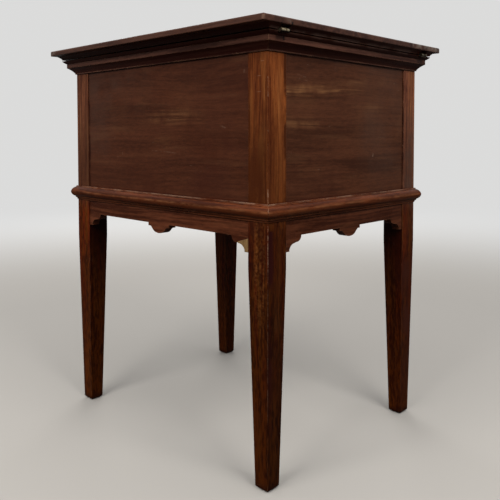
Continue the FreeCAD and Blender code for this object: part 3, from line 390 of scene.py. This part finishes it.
# each mark: tone, from, to, width, wobble, waves per metre of its patches, amount
marks = {
    "mahogany_panel_across": [
        ("sunned", (0.270, backFace, 0.6166), (0.030, backFace, 0.6221), 0.0145, 0.008, 14.0, 1.20),
        ("sunned", (0.120, backFace, 0.6223), (-0.060, backFace, 0.6269), 0.0090, 0.008, 14.0, 0.80),
        ("sunned", (0.080, backFace, 0.6327), (-0.140, backFace, 0.6488), 0.0110, 0.010, 14.0, 0.45),
        ("sunned", (0.260, backFace, 0.5683), (-0.020, backFace, 0.5700), 0.0120, 0.008, 16.0, 0.70),
        ("goldAndHighlight", (0.200, backFace, 0.5850), (-0.200, backFace, 0.5850), 0.0900, 0.020, 8.0, 0.10),
        ("sunned", (0.040, backFace, 0.5937), (-0.130, backFace, 0.5982), 0.0110, 0.010, 16.0, 0.45),
        ("sunned", (0.220, backFace, 0.4900), (0.060, backFace, 0.4850), 0.0300, 0.012, 12.0, 0.25),
        # the bloom marks are a greyish haze: partly bloom in the polish, partly a painted reflection
        ("bloomAndReflection", (-0.068, backFace, 0.6900), (-0.154, backFace, 0.4300), 0.1200, 0.040, 6.0, 0.50),
        # painted shade along the foot of the back panel
        ("deepShade", (0.250, backFace, 0.4520), (-0.250, backFace, 0.4520), 0.0600, 0.020, 8.0, 0.30),
        ("bloomAndReflection", (0.250, backFace, 0.6850), (-0.250, backFace, 0.6850), 0.0400, 0.020, 8.0, 0.60),
        ("joint", (-0.1700, backFace, 0.6800), (-0.1700, backFace, 0.4400), 0.0032, 0.001, 30.0, 1.00),
        ("joint", (0.1698, backFace, 0.6800), (0.1698, backFace, 0.4400), 0.0018, 0.001, 30.0, 0.80),
        ("scuff", (0.142, backFace, 0.6438), (0.121, backFace, 0.6406), 0.0018, 0.003, 160.0, 0.16),
        ("scuff", (0.138, backFace, 0.6380), (0.118, backFace, 0.6351), 0.0014, 0.003, 160.0, 0.14),
        ("scuff", (-0.0707, backFace, 0.5169), (-0.0684, backFace, 0.5102), 0.0026, 0.001, 60.0, 0.24),
        ("scuff", (-0.0835, backFace, 0.5455), (-0.1093, backFace, 0.5445), 0.0014, 0.002, 130.0, 0.16),
    ],
    "mahogany_panel_along": [
        ("sunned", (rightFace, -0.070, 0.580), (rightFace, 0.135, 0.579), 0.0200, 0.016, 14.0, 0.45),
        ("sunned", (rightFace, -0.030, 0.538), (rightFace, 0.100, 0.536), 0.0200, 0.016, 14.0, 0.32),
        # the bloom marks are a greyish haze: partly bloom in the polish, partly a painted reflection
        ("bloomAndReflection", (rightFace, -0.290, 0.654), (rightFace, -0.010, 0.654), 0.0800, 0.040, 6.0, 0.45),
        ("bloomAndReflection", (rightFace, -0.205, 0.690), (rightFace, -0.191, 0.430), 0.0900, 0.040, 6.0, 0.35),
        # painted shade at the back end of the side panel and along its foot
        ("deepShade", (rightFace, 0.190, 0.720), (rightFace, 0.202, 0.390), 0.1300, 0.040, 6.0, 1.30),
        ("deepShade", (rightFace, -0.330, 0.4520), (rightFace, 0.330, 0.4520), 0.0700, 0.020, 8.0, 0.75),
        ("goldAndHighlight", (rightFace, -0.150, 0.590), (rightFace, 0.120, 0.590), 0.0700, 0.020, 8.0, 0.08),
        ("joint", (rightFace, -0.2235, 0.6800), (rightFace, -0.2235, 0.4400), 0.0046, 0.001, 30.0, 1.00),
        ("joint", (rightFace, 0.2258, 0.6800), (rightFace, 0.2258, 0.4400), 0.0014, 0.001, 30.0, 0.50),
        ("scuff", (rightFace, -0.017, 0.5224), (rightFace, 0.052, 0.5188), 0.0014, 0.003, 110.0, 0.12),
        ("scuff", (rightFace, 0.161, 0.5647), (rightFace, 0.175, 0.5611), 0.0020, 0.003, 150.0, 0.15),
        ("scuff", (rightFace, 0.2170, 0.6505), (rightFace, 0.2170, 0.6443), 0.0028, 0.001, 60.0, 0.34),
    ],
    "mahogany_upright": [
        ("amber", (postRight, 0.2600, 0.690), (postRight, 0.2600, 0.440), 0.0060, 0.003, 16.0, 0.65),
        # painted shade on the lower part of the back post's side face
        ("deepShade", (postRight, 0.2400, 0.580), (postRight, 0.2400, 0.340), 0.0320, 0.006, 12.0, 0.80),
        ("rust", (postRight, 0.2272, 0.680), (postRight, 0.2272, 0.440), 0.0060, 0.0002, 20.0, 2.00),
        ("rust", (postRight, 0.2420, 0.530), (postRight, 0.2420, 0.430), 0.0280, 0.004, 10.0, 0.90),
        ("amber", (0.1860, postBack, 0.710), (0.1850, postBack, 0.520), 0.0090, 0.003, 16.0, 0.75),
        ("rust", (0.1722, postBack, 0.680), (0.1722, postBack, 0.440), 0.0075, 0.0002, 20.0, 1.60),
        ("amber", (-0.1985, postBack, 0.720), (-0.1965, postBack, 0.570), 0.0130, 0.004, 14.0, 0.95),
        # the bloom mark is a greyish haze: partly bloom in the polish, partly a painted reflection
        ("bloomAndReflection", (-0.1930, postBack, 0.620), (-0.1930, postBack, 0.330), 0.0340, 0.004, 14.0, 0.85),
        ("joint", (-0.1715, postBack, 0.680), (-0.1715, postBack, 0.440), 0.0030, 0.001, 30.0, 0.90),
        ("amber", (postRight, 0.2520, 0.480), (postRight, 0.2500, 0.230), 0.0190, 0.004, 240.0, 0.50),
        # painted shade: a dark band beside the outer arris on the back face of the leg
        ("arrisShade", (0.2055, postBack, 0.405), (0.2010, 0.2636, 0.080), 0.0090, 0.002, 8.0, 1.80),
        ("amber", (0.1880, postBack, 0.450), (0.1900, 0.2636, 0.080), 0.0100, 0.002, 14.0, 0.20),
        ("scuff", (postRight, postBack, 0.4690), (postRight, postBack, 0.4470), 0.0013, 0.001, 90.0, 0.75),
        ("scuff", (postRight, postBack, 0.6360), (postRight, postBack, 0.6060), 0.0012, 0.001, 230.0, 0.35),
        ("scuff", (postRight, postBack, 0.4133), (postRight, postBack, 0.3434), 0.0013, 0.001, 260.0, 0.60),
        ("scuff", (postRight, postBack, 0.3434), (0.2076, 0.2636, 0.1200), 0.0010, 0.001, 240.0, 0.16),
        ("rust", (0.1900, postBack, 0.4100), (0.1920, 0.2636, 0.1300), 0.0220, 0.004, 10.0, 0.30),
        # painted shade down the back face of the post and leg at -X
        ("deepShade", (-0.1900, postBack, 0.4600), (-0.1900, 0.2636, -0.0500), 0.0320, 0.004, 12.0, 1.30),
    ],
    "mahogany_rail_across": [
        # painted shade: a dark line at the end of the hinge's notch at +X
        ("notchShade", (0.1932, 0.2826, 0.6965), (0.1926, 0.2821, 0.6890), 0.0021, 0.0, 0.0, 14.00),
        # painted highlights along the lower lips of the lid moulding and the cap strip at the back
        ("lipHighlight", (0.2300, 0.2890, 0.7044), (-0.2000, 0.2890, 0.7056), 0.0040, 0.001, 30.0, 3.00),
        ("lipHighlight", (0.2300, 0.2885, 0.6990), (-0.1500, 0.2885, 0.6990), 0.0024, 0.001, 30.0, 2.20),
    ],
    "mahogany_rail_along": [],
    "mahogany_lid": [
        ("scuff", (lidArrisX, lidArrisY, 0.7115), (lidArrisX, lidArrisY, 0.7175), 0.0048, 0.001, 60.0, 0.24),
        # painted shade: a dark line at the end of the hinge's notch at +X
        ("notchShade", (0.1914, lidBack, 0.7085), (0.1914, lidBack, 0.7142), 0.0023, 0.0, 0.0, 14.00),
        ("dust", (0.2060, lidBack, 0.7170), (0.1945, lidBack, 0.7140), 0.0050, 0.0, 60.0, 0.35),
        ("dust", (-0.1500, lidBack, 0.7165), (-0.2540, lidBack, 0.7165), 0.0080, 0.001, 60.0, 0.70),
        ("dust", (lidRight, -0.2990, 0.7160), (lidRight, -0.2740, 0.7170), 0.0075, 0.001, 60.0, 1.00),
    ],
    "hinge_brass": [
        # painted shade at the end of the hinge barrel at +X and below it
        ("notchShade", (0.1860, 0.2905, 0.7022), (0.1938, 0.2905, 0.7022), 0.0055, 0.0, 0.0, 14.00),
        ("notchShade", (0.2150, 0.2930, 0.6985), (0.1900, 0.2930, 0.6985), 0.0028, 0.0, 0.0, 14.00),
    ],
}
# lines along the waist: dusting leaves a pale worn line on the fillet, a dark joint runs below it, the gold
# lines are painted highlights on the bead, and the ruddy line is painted shade under the bead. Each line:
# tone, inward, down, width, waves per metre of its patches, amount
waistLines = [
    ("scuff", 0.0074, 0.0004, 0.0024, 34.0, 0.46), ("joint", 0.0062, 0.0030, 0.0013, 60.0, 1.50),
    ("goldAndHighlight", 0.0008, 0.0115, 0.0032, 40.0, 0.40), ("beadShade", 0.0022, 0.0178, 0.0034, 60.0, 1.40),
    ("goldAndHighlight", 0.0058, 0.0212, 0.0014, 60.0, 0.90),
]
waistRight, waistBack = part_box("waist_moulding_right")[1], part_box("waist_moulding_back")[1]
for toneName, inward, down, width, patch, amount in waistLines:
    x, y, z = waistRight.x - inward, waistBack.y - inward, waistRight.z - down
    marks["mahogany_rail_along"].append((toneName, (x, -y, z), (x, y, z), width, 0.0, patch, amount))
    marks["mahogany_rail_across"].append((toneName, (x, y, z), (-x, y, z), width, 0.0, patch, amount))

# how single pieces differ from the rest of their wood: the first start of a name that fits counts. Some of it
# is painted light: the darker tone of the cap strip and the lid mouldings is painted shade under the lid, the
# lower depth of the cornice is a painted sheen, and the under values give painted shade on faces that face
# down
pieceLooks = {
    "tone": {"post_back_right": 0.86, "post_front_right": 0.76, "post_back_left": 0.90,
             # the cap strip and the lid mouldings are made darker as painted shade under the lid
             "waist_moulding": 1.22, "cornice": 1.02, "cap_strip": 0.55, "lid_moulding_back": 0.80,
             "lid_moulding": 0.45, "apron_right": 1.26, "apron_back": 0.94, "hinge_left": 0.35},
    "legTone": {"post_back_right": 1.04, "post_back_left": 1.65, "post_front_right": 1.62,
                "post_front_left": 1.7},
    "depth": {"post_back_right": 1.01, "post_front_right": 0.92, "post_back_left": 0.90,
              # the cornice is greyed as a painted sheen
              "post_front_left": 0.92, "waist_moulding": 1.05, "cornice": 0.86},
    "rubbed": {"waist_moulding": 0.50, "post": 0.40, "cap_strip": 0.12, "lid_moulding": 0.3},
    # painted shade on the faces that face down
    "under": {"waist_moulding": 0.22, "apron": 0.5},
}
grainAxes = {"X": "XYZ", "Y": "YZX", "Z": "ZXY"}  # the grain's own axes, for wood along X, Y or Z
plankStep, plankReach = 0.618034, 3.0  # spreads the pieces over a plank of this length


def orderAxes(tree, vector, along):
    parts = addNode(tree, "ShaderNodeSeparateXYZ", {0: vector}).outputs
    inputs = {axis: parts[name] for axis, name in zip("XYZ", grainAxes[along])}
    return addNode(tree, "ShaderNodeCombineXYZ", inputs).outputs[0]


def legColour(tree, place, bare, toned):
    # the legs are darker and redder than the posts, and posts and legs are lighter towards their heads as
    # painted light
    height = axisOf(tree, place, "Z")
    low = rangeNode(tree, height, legTone["from"], legTone["to"])
    bands = noiseNode(tree, stretchNode(tree, place, legTone["bandWaves"]), 1.0)
    bands = rangeNode(tree, bands, *legTone["bands"])
    bands = mathNode(tree, "MULTIPLY", bands, rangeNode(tree, height, *legTone["bandFade"]))
    stained = mixColour(tree, bands, legTone["olive"], legTone["russet"])
    leg = tintNode(tree, mixColour(tree, 1.0, bare, stained, "MULTIPLY"), pieceValue(tree, "legTone"))
    # painted shade below the case: the inner faces darken towards the top of the leg; the soles darken
    # towards the floor
    flatPlace = vectorMath(tree, "MULTIPLY", place, (1, 1, 0))
    inward = rangeNode(tree, vectorMath(tree, "DOT_PRODUCT", ownNormal(tree), flatPlace), *legTone["inward"])
    under = rangeNode(tree, height, legTone["shadeFrom"], legTone["shadeTo"])
    inward = mathNode(tree, "MULTIPLY", inward, under)
    leg = mixColour(tree, mathNode(tree, "MULTIPLY", inward, legTone["shadeAmount"]), leg, legTone["shade"])
    sole = rangeNode(tree, height, legTone["soleFrom"], legTone["soleTo"])
    leg = mixColour(tree, mathNode(tree, "MULTIPLY", sole, legTone["soleAmount"]), leg, legTone["shade"])
    grit = rangeNode(tree, noiseNode(tree, place, legTone["gritWaves"]), *legTone["grit"])
    grit = mathNode(tree, "MULTIPLY", grit, mathNode(tree, "MULTIPLY", sole, legTone["gritAmount"]))
    leg = mixColour(tree, grit, leg, surface["wornColour"])
    colour = mixColour(tree, low, toned, leg)
    # painted light: lighter towards the top of the post and the leg
    fade = mathNode(tree, "MULTIPLY", rangeNode(tree, height, *legTone["postPaintedLight"]),
                    rangeNode(tree, height, *legTone["legPaintedLight"]))
    # painted light and shade: faces that face along Y are lighter on the posts and darker on the legs
    facingY = mathNode(tree, "ABSOLUTE", axisOf(tree, ownNormal(tree), "Y"))
    paintedSideLight = rangeNode(tree, low, 0.0, 1.0, legTone["postSideLight"], legTone["legSideShade"])
    paintedSideLight = rangeNode(tree, facingY, legTone["facingYFrom"], legTone["facingYTo"], 1.0, paintedSideLight)
    return tintNode(tree, colour, mathNode(tree, "MULTIPLY", fade, paintedSideLight))


def layMarks(tree, place, name, colour, ribbon=None):
    for toneName, start, end, width, wobble, patch, amount in marks.get(name, []):
        soft = markLook["fadeShare" if toneName in markLook["fading"] else "sharpShare"]
        mark = placeGroup(tree, markGroup, {
            "Vector": place, "From": start, "To": end, "Width": width, "Wobble": wobble, "Patch": patch,
            "Amount": amount, "Soft": soft})["Mark"]
        if toneName in markLook["onRibbon"]:
            mark = mathNode(tree, "MULTIPLY", mark, rangeNode(tree, ribbon, *markLook["ribbon"]))
        colour = mixColour(tree, mark, colour, markTones[toneName])
    return colour


def startMaterial(name):
    material = bpy.data.materials.new(name)
    material.use_nodes = True
    tree = material.node_tree
    return material, tree, tree.nodes["Principled BSDF"]


def makeWood(name, look):
    material, tree, shader = startMaterial(name)
    place = addNode(tree, "ShaderNodeTexCoord").outputs["Object"]
    alongGrain = orderAxes(tree, place, look["along"])
    fleck = look["fleck"]
    if "legFleck" in look:
        height = axisOf(tree, place, "Z")
        fleck = rangeNode(tree, height, legTone["to"], legTone["from"], look["legFleck"], look["fleck"])
    grain = placeGroup(tree, grainGroup, {
        "Vector": alongGrain, "Shift": pieceValue(tree, "plankShift"), "Dark": (*look["dark"], 1),
        "Light": (*look["light"], 1), "Streak": (*look["streak"], 1), "Figure": look["figure"],
        "Ribbon": look["ribbon"], "Fleck": fleck, "Pores": look["pores"], "Streaks": look["streaks"]})
    rubbed = mathNode(tree, "MULTIPLY", pieceValue(tree, "rubbed"), look["wear"])
    wear = placeGroup(tree, wearGroup, {"Vector": place, "Width": surface["wearWidth"], "Amount": rubbed,
                                        "Patch": surface["wearPatch"]})
    # painted shade: faces that face down are darkened by look and by piece, and closed recesses together with
    # old polish
    under = mathNode(tree, "MULTIPLY", pieceValue(tree, "under"), look.get("under", 0.0))
    grimeAndShade = placeGroup(tree, grimeAndShadeGroup, {"Vector": place, "Reach": look["grimeAndShadeReach"],
                                          "Amount": look["grimeAndShade"], "UnderShade": under})
    scratch = placeGroup(tree, scratchGroup, {"Vector": alongGrain, "Amount": surface["scratch"]})
    colour = tintNode(tree, grain["Color"], pieceValue(tree, "tone"), pieceValue(tree, "depth"))
    if name == "mahogany_upright":
        colour = legColour(tree, place, grain["Color"], colour)
    # the darkening in recesses is old polish and painted shade; on faces that face down it is painted shade
    colour = mixColour(tree, grimeAndShade["GrimeAndShade"], colour, surface["grimeAndShadeColour"])
    colour = layMarks(tree, place, name, colour, grain["Ribbon"])
    colour = mixColour(tree, wear["Edge"], colour, surface["wornColour"])
    colour = mixColour(tree, wear["Chip"], colour, surface["chipColour"])
    colour = mixColour(tree, scratch["Scratch"], colour, surface["chipColour"])
    tree.links.new(colour, shader.inputs["Base Color"])
    rough = rangeNode(tree, grain["Polish"], 0.0, 1.0, look["rough"] - surface["glossier"],
                      look["rough"] + surface["duller"], smooth=False)
    tree.links.new(rough, shader.inputs["Roughness"])
    shader.inputs["Specular IOR Level"].default_value = look["shine"]
    # sharp arrises are eased a little by years of polish
    eased = bevelNormal(tree, surface["eased"], surface["easedSamples"])
    bump = addNode(tree, "ShaderNodeBump", {"Strength": surface["bump"], "Distance": surface["bumpDepth"],
                                            "Height": grain["Height"], "Normal": eased})
    tree.links.new(bump.outputs[0], shader.inputs["Normal"])
    return material


# brass, brighter where it is handled
metals = {
    "hinge_brass": {"bare": (0.55, 0.46, 0.30, 1), "tarnish": (0.10, 0.065, 0.03, 1), "spread": (0.46, 0.62),
                    "rough": 0.34},
    "lock_brass": {"bare": (0.50, 0.38, 0.18, 1), "tarnish": (0.14, 0.085, 0.035, 1), "spread": (0.40, 0.66),
                   "rough": 0.38},
}
metalSurface = {
    "cloudWaves": 140.0, "wearWidth": 0.0005, "wear": 0.9, "wearPatch": 120.0,
    "grimeAndShadeReach": 0.004, "grimeAndShade": 0.8, "grimeAndShadeColour": (0.02, 0.012, 0.006, 1), "grimeAndShadeMetallic": 0.35,
    "scratch": 0.35, "scratchRough": 0.3, "dullRough": 0.22, "bump": 0.2, "bumpDepth": 0.0002,
}


def makeMetal(name, look):
    material, tree, shader = startMaterial(name)
    place = addNode(tree, "ShaderNodeTexCoord").outputs["Object"]
    cloud = noiseNode(tree, place, metalSurface["cloudWaves"], 4.0, 0.65)
    dull = rangeNode(tree, cloud, *look["spread"])
    wear = placeGroup(tree, wearGroup, {"Vector": place, "Width": metalSurface["wearWidth"],
                                        "Amount": metalSurface["wear"], "Patch": metalSurface["wearPatch"]})
    grimeAndShade = placeGroup(tree, grimeAndShadeGroup, {"Vector": place, "Reach": metalSurface["grimeAndShadeReach"],
                                          "Amount": metalSurface["grimeAndShade"]})
    scratch = placeGroup(tree, scratchGroup, {"Vector": place, "Amount": metalSurface["scratch"]})
    colour = mixColour(tree, dull, look["bare"], look["tarnish"])
    colour = mixColour(tree, wear["Edge"], colour, look["bare"])
    colour = mixColour(tree, grimeAndShade["GrimeAndShade"], colour, metalSurface["grimeAndShadeColour"])
    colour = layMarks(tree, place, name, colour)
    tree.links.new(tintNode(tree, colour, pieceValue(tree, "tone")), shader.inputs["Base Color"])
    metallic = rangeNode(tree, grimeAndShade["GrimeAndShade"], 0.0, 1.0, 1.0, metalSurface["grimeAndShadeMetallic"], smooth=False)
    tree.links.new(metallic, shader.inputs["Metallic"])
    rough = mathNode(tree, "ADD", mathNode(tree, "MULTIPLY", dull, metalSurface["dullRough"]), look["rough"])
    scored = mathNode(tree, "MULTIPLY", scratch["Scratch"], metalSurface["scratchRough"])
    tree.links.new(mathNode(tree, "ADD", rough, scored, clamp=True), shader.inputs["Roughness"])
    bump = addNode(tree, "ShaderNodeBump", {"Strength": metalSurface["bump"],
                                            "Distance": metalSurface["bumpDepth"], "Height": cloud})
    tree.links.new(bump.outputs[0], shader.inputs["Normal"])
    return material


finishes = {name: makeWood(name, look) for name, look in woods.items()}
finishes.update({name: makeMetal(name, look) for name, look in metals.items()})
print("finishes made:", ", ".join(finishes))

slotOf = {part["node"]: part["material_slot"] for part in frame["record"]["subparts"]}
for number, (nodeName, obj) in enumerate(sorted(frame["nodes"].items())):
    obj.data.materials.clear()
    obj.data.materials.append(finishes[slotOf[nodeName]])
    obj["plankShift"] = (number * plankStep) % 1.0 * plankReach
    for lookName, values in pieceLooks.items():
        obj[lookName] = next((value for start, value in values.items() if nodeName.startswith(start)), 1.0)
print("finishes laid on the pieces")


# slotted screw heads in the hinges, the lock and the stay
screws = {
    "radius": 0.0021, "arcSteps": 14, "proud": 0.00006, "slotWidth": 0.0005, "slotDepth": 0.0005,
    "hingeIn": 0.0130, "hingeSpread": 0.0054, "leafThick": 0.0009, "lockEnd": 0.0050, "linkThick": 0.0009,
    "plateThick": 0.0016, "plateDown": 0.0125, "plateFront": -0.0045, "plateBack": 0.0070,
    "bracketIn": 0.0050, "bracketSpread": 0.0080, "bracketThick": 0.0016,
    "turns": (0.4, 1.3, 2.2, 0.1, 2.7, 1.0, 1.9, 0.7, 2.4, 1.6, 0.2, 2.9, 0.9, 1.5, 2.0, 0.5),
}


def middle(node):
    low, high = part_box(node)
    return (low + high) / 2


def screwHead(name, centre, facing, turn, body):
    mesh = bpy.data.meshes.new(name)
    shape = bmesh.new()
    radius, half, deepShade = screws["radius"], screws["slotWidth"] / 2, screws["slotDepth"]
    steps = screws["arcSteps"]
    reach = math.sqrt(radius * radius - half * half)
    # half a disc on each side of the slot
    for side in (1, -1):
        start = math.asin(half / radius)
        arc = [start + (math.pi - 2 * start) * i / steps for i in range(steps + 1)]
        top = [shape.verts.new((radius * math.cos(a), side * radius * math.sin(a), 0)) for a in arc]
        low = [shape.verts.new((v.co.x, v.co.y, -deepShade)) for v in top]
        shape.faces.new(top if side > 0 else top[::-1])
        for i in range(steps):
            face = (top[i], top[i + 1], low[i + 1], low[i])
            shape.faces.new(face if side < 0 else face[::-1])
        wall = (top[-1], top[0], low[0], low[-1])
        shape.faces.new(wall if side < 0 else wall[::-1])
    corners = ((-reach, -half), (reach, -half), (reach, half), (-reach, half))
    shape.faces.new([shape.verts.new((x, y, -deepShade)) for x, y in corners])
    spin = Matrix.Rotation(turn, 4, "Z")
    stand = Vector(facing).to_track_quat("Z", "Y").to_matrix().to_4x4()
    move = Matrix.Translation(Vector(centre) + Vector(facing) * screws["proud"])
    shape.transform(move @ stand @ spin)
    shape.to_mesh(mesh)
    shape.free()
    head = bpy.data.objects.new(name, mesh)
    bpy.context.scene.collection.objects.link(head)
    mesh.materials.append(finishes["lock_brass"])
    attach(head, body)


turns = iter(screws["turns"])
leafZ = {"case_leaf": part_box("cap_strip_back")[1].z + screws["leafThick"],
         "lid_leaf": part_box("lid_moulding_back")[0].z - screws["leafThick"]}
for hand in ("left", "right"):
    for leaf, up, body in (("case_leaf", 1, "carcase"), ("lid_leaf", -1, "lid")):
        x = middle("hinge_%s_%s" % (hand, leaf)).x
        y = middle("hinge_%s_pin" % hand).y - screws["hingeIn"]
        for step in (-1, 1):
            name = "hinge_%s_%s_screw_%s" % (hand, leaf, "in" if step * x < 0 else "out")
            screwHead(name, (x + step * screws["hingeSpread"], y, leafZ[leaf]), (0, 0, up), next(turns), body)
for plate, up, sunk, body in (("lock_selvedge", 1, 0.0, "carcase"),
                              ("lock_link_plate", -1, screws["linkThick"], "lid")):
    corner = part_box(plate)[1]
    for hand, sign in (("left", -1), ("right", 1)):
        place = (sign * (corner.x - screws["lockEnd"]), middle(plate).y, corner.z - sunk)
        screwHead("%s_screw_%s" % (plate, hand), place, (0, 0, up), next(turns), body)
rivet = middle("stay_case_rivet")
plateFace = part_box("panel_right")[0].x - screws["plateThick"]
for name, along in (("front", screws["plateFront"]), ("back", screws["plateBack"])):
    place = (plateFace, rivet.y + along, rivet.z - screws["plateDown"])
    screwHead("stay_case_plate_screw_" + name, place, (-1, 0, 0), next(turns), "carcase")
low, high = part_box("stay_lid_bracket")
for name, sign in (("front", -1), ("back", 1)):
    place = (low.x + screws["bracketIn"], (low.y + high.y) / 2 + sign * screws["bracketSpread"],
             high.z - screws["bracketThick"])
    screwHead("stay_lid_bracket_screw_" + name, place, (0, 0, -1), next(turns), "lid")
print("screw heads set")


# pale floor and backdrop, soft light from above
stage = {
    "radius": 5.0, "segments": 96, "fadeFrom": 1.2, "fadeTo": 4.2, "rough": 0.85, "shine": 0.1,
    "nearColour": (0.31, 0.292, 0.270, 1), "farColour": (0.71, 0.71, 0.705, 1),
    "bounceColour": (0.06, 0.056, 0.052, 1),
}
floorMesh = bpy.data.meshes.new("floor")
disc = bmesh.new()
bmesh.ops.create_circle(disc, cap_ends=True, segments=stage["segments"], radius=stage["radius"])
disc.to_mesh(floorMesh)
disc.free()
floor = bpy.data.objects.new("floor", floorMesh)
bpy.context.scene.collection.objects.link(floor)
floorMaterial, tree, floorShader = startMaterial("pale_floor")
away = vectorMath(tree, "LENGTH", addNode(tree, "ShaderNodeTexCoord").outputs["Object"])
fade = rangeNode(tree, away, stage["fadeFrom"], stage["fadeTo"])
seen = addNode(tree, "ShaderNodeLightPath").outputs["Is Camera Ray"]
shown = mixColour(tree, fade, stage["nearColour"], stage["farColour"])
tree.links.new(mixColour(tree, seen, stage["bounceColour"], shown), floorShader.inputs["Base Color"])
floorShader.inputs["Roughness"].default_value = stage["rough"]
floorShader.inputs["Specular IOR Level"].default_value = stage["shine"]
sky = addNode(tree, "ShaderNodeEmission", {"Color": stage["farColour"], "Strength": 1.0})
blendIn = mathNode(tree, "MULTIPLY", fade, seen)
blend = addNode(tree, "ShaderNodeMixShader", {0: blendIn, 1: floorShader.outputs[0], 2: sky.outputs[0]})
tree.links.new(blend.outputs[0], tree.nodes["Material Output"].inputs["Surface"])
floorMesh.materials.append(floorMaterial)

studio = {"horizon": 0.22, "zenith": 1.30, "from": 0.05, "to": 0.95, "tint": (0.97, 0.985, 1.0, 1)}
world = bpy.data.worlds.new("studio")
bpy.context.scene.world = world
world.use_nodes = True
tree = world.node_tree
paths = addNode(tree, "ShaderNodeLightPath").outputs
seen = mathNode(tree, "MAXIMUM", paths["Is Camera Ray"], paths["Is Transmission Ray"])
up = axisOf(tree, addNode(tree, "ShaderNodeTexCoord").outputs["Generated"], "Z")
level = rangeNode(tree, up, studio["from"], studio["to"], studio["horizon"], studio["zenith"])
around = addNode(tree, "ShaderNodeBackground", {"Color": studio["tint"], "Strength": level})
backdrop = addNode(tree, "ShaderNodeBackground", {"Color": stage["farColour"], "Strength": 1.0})
blend = addNode(tree, "ShaderNodeMixShader", {0: seen, 1: around.outputs[0], 2: backdrop.outputs[0]})
tree.links.new(blend.outputs[0], tree.nodes["World Output"].inputs["Surface"])

lampColour = (1.0, 0.985, 0.96)
lamps = {
    "backWindow": {"place": (0.30, 1.65, 2.00), "aim": (0.1, 0.25, 0.60), "size": 0.9, "watts": 36.0},
    "sideWindow": {"place": (1.80, 0.15, 1.85), "aim": (0.2, 0.0, 0.55), "size": 1.0, "watts": 38.0},
    "frontFill": {"place": (-1.9, -2.2, 1.9), "aim": (0.0, 0.0, 0.45), "size": 1.8, "watts": 38.0},
}
for name, lamp in lamps.items():
    light = bpy.data.lights.new(name, "AREA")
    light.energy = lamp["watts"]
    light.size = lamp["size"]
    light.color = lampColour
    fixture = bpy.data.objects.new(name, light)
    fixture.location = lamp["place"]
    fixture.rotation_euler = (Vector(lamp["aim"]) - Vector(lamp["place"])).to_track_quat("-Z", "Y").to_euler()
    bpy.context.scene.collection.objects.link(fixture)

view = {
    "place": (0.9017, 0.9041, 0.5478), "pitch": -2.4, "heading": 133.900, "roll": 0.029,
    "sensor": 36.0, "lens": 45.567, "shiftX": -0.0091, "shiftY": -0.1749,
}
camera = bpy.data.objects.new("camera", bpy.data.cameras.new("camera"))
camera.data.sensor_width = view["sensor"]
camera.data.lens = view["lens"]
camera.data.shift_x = view["shiftX"]
camera.data.shift_y = view["shiftY"]
camera.location = view["place"]
camera.rotation_euler = [math.radians(angle) for angle in (90 + view["pitch"], view["roll"], view["heading"])]
bpy.context.scene.collection.objects.link(camera)
bpy.context.scene.camera = camera
bpy.context.scene.view_settings.view_transform = "Standard"
print("floor, light and camera set")
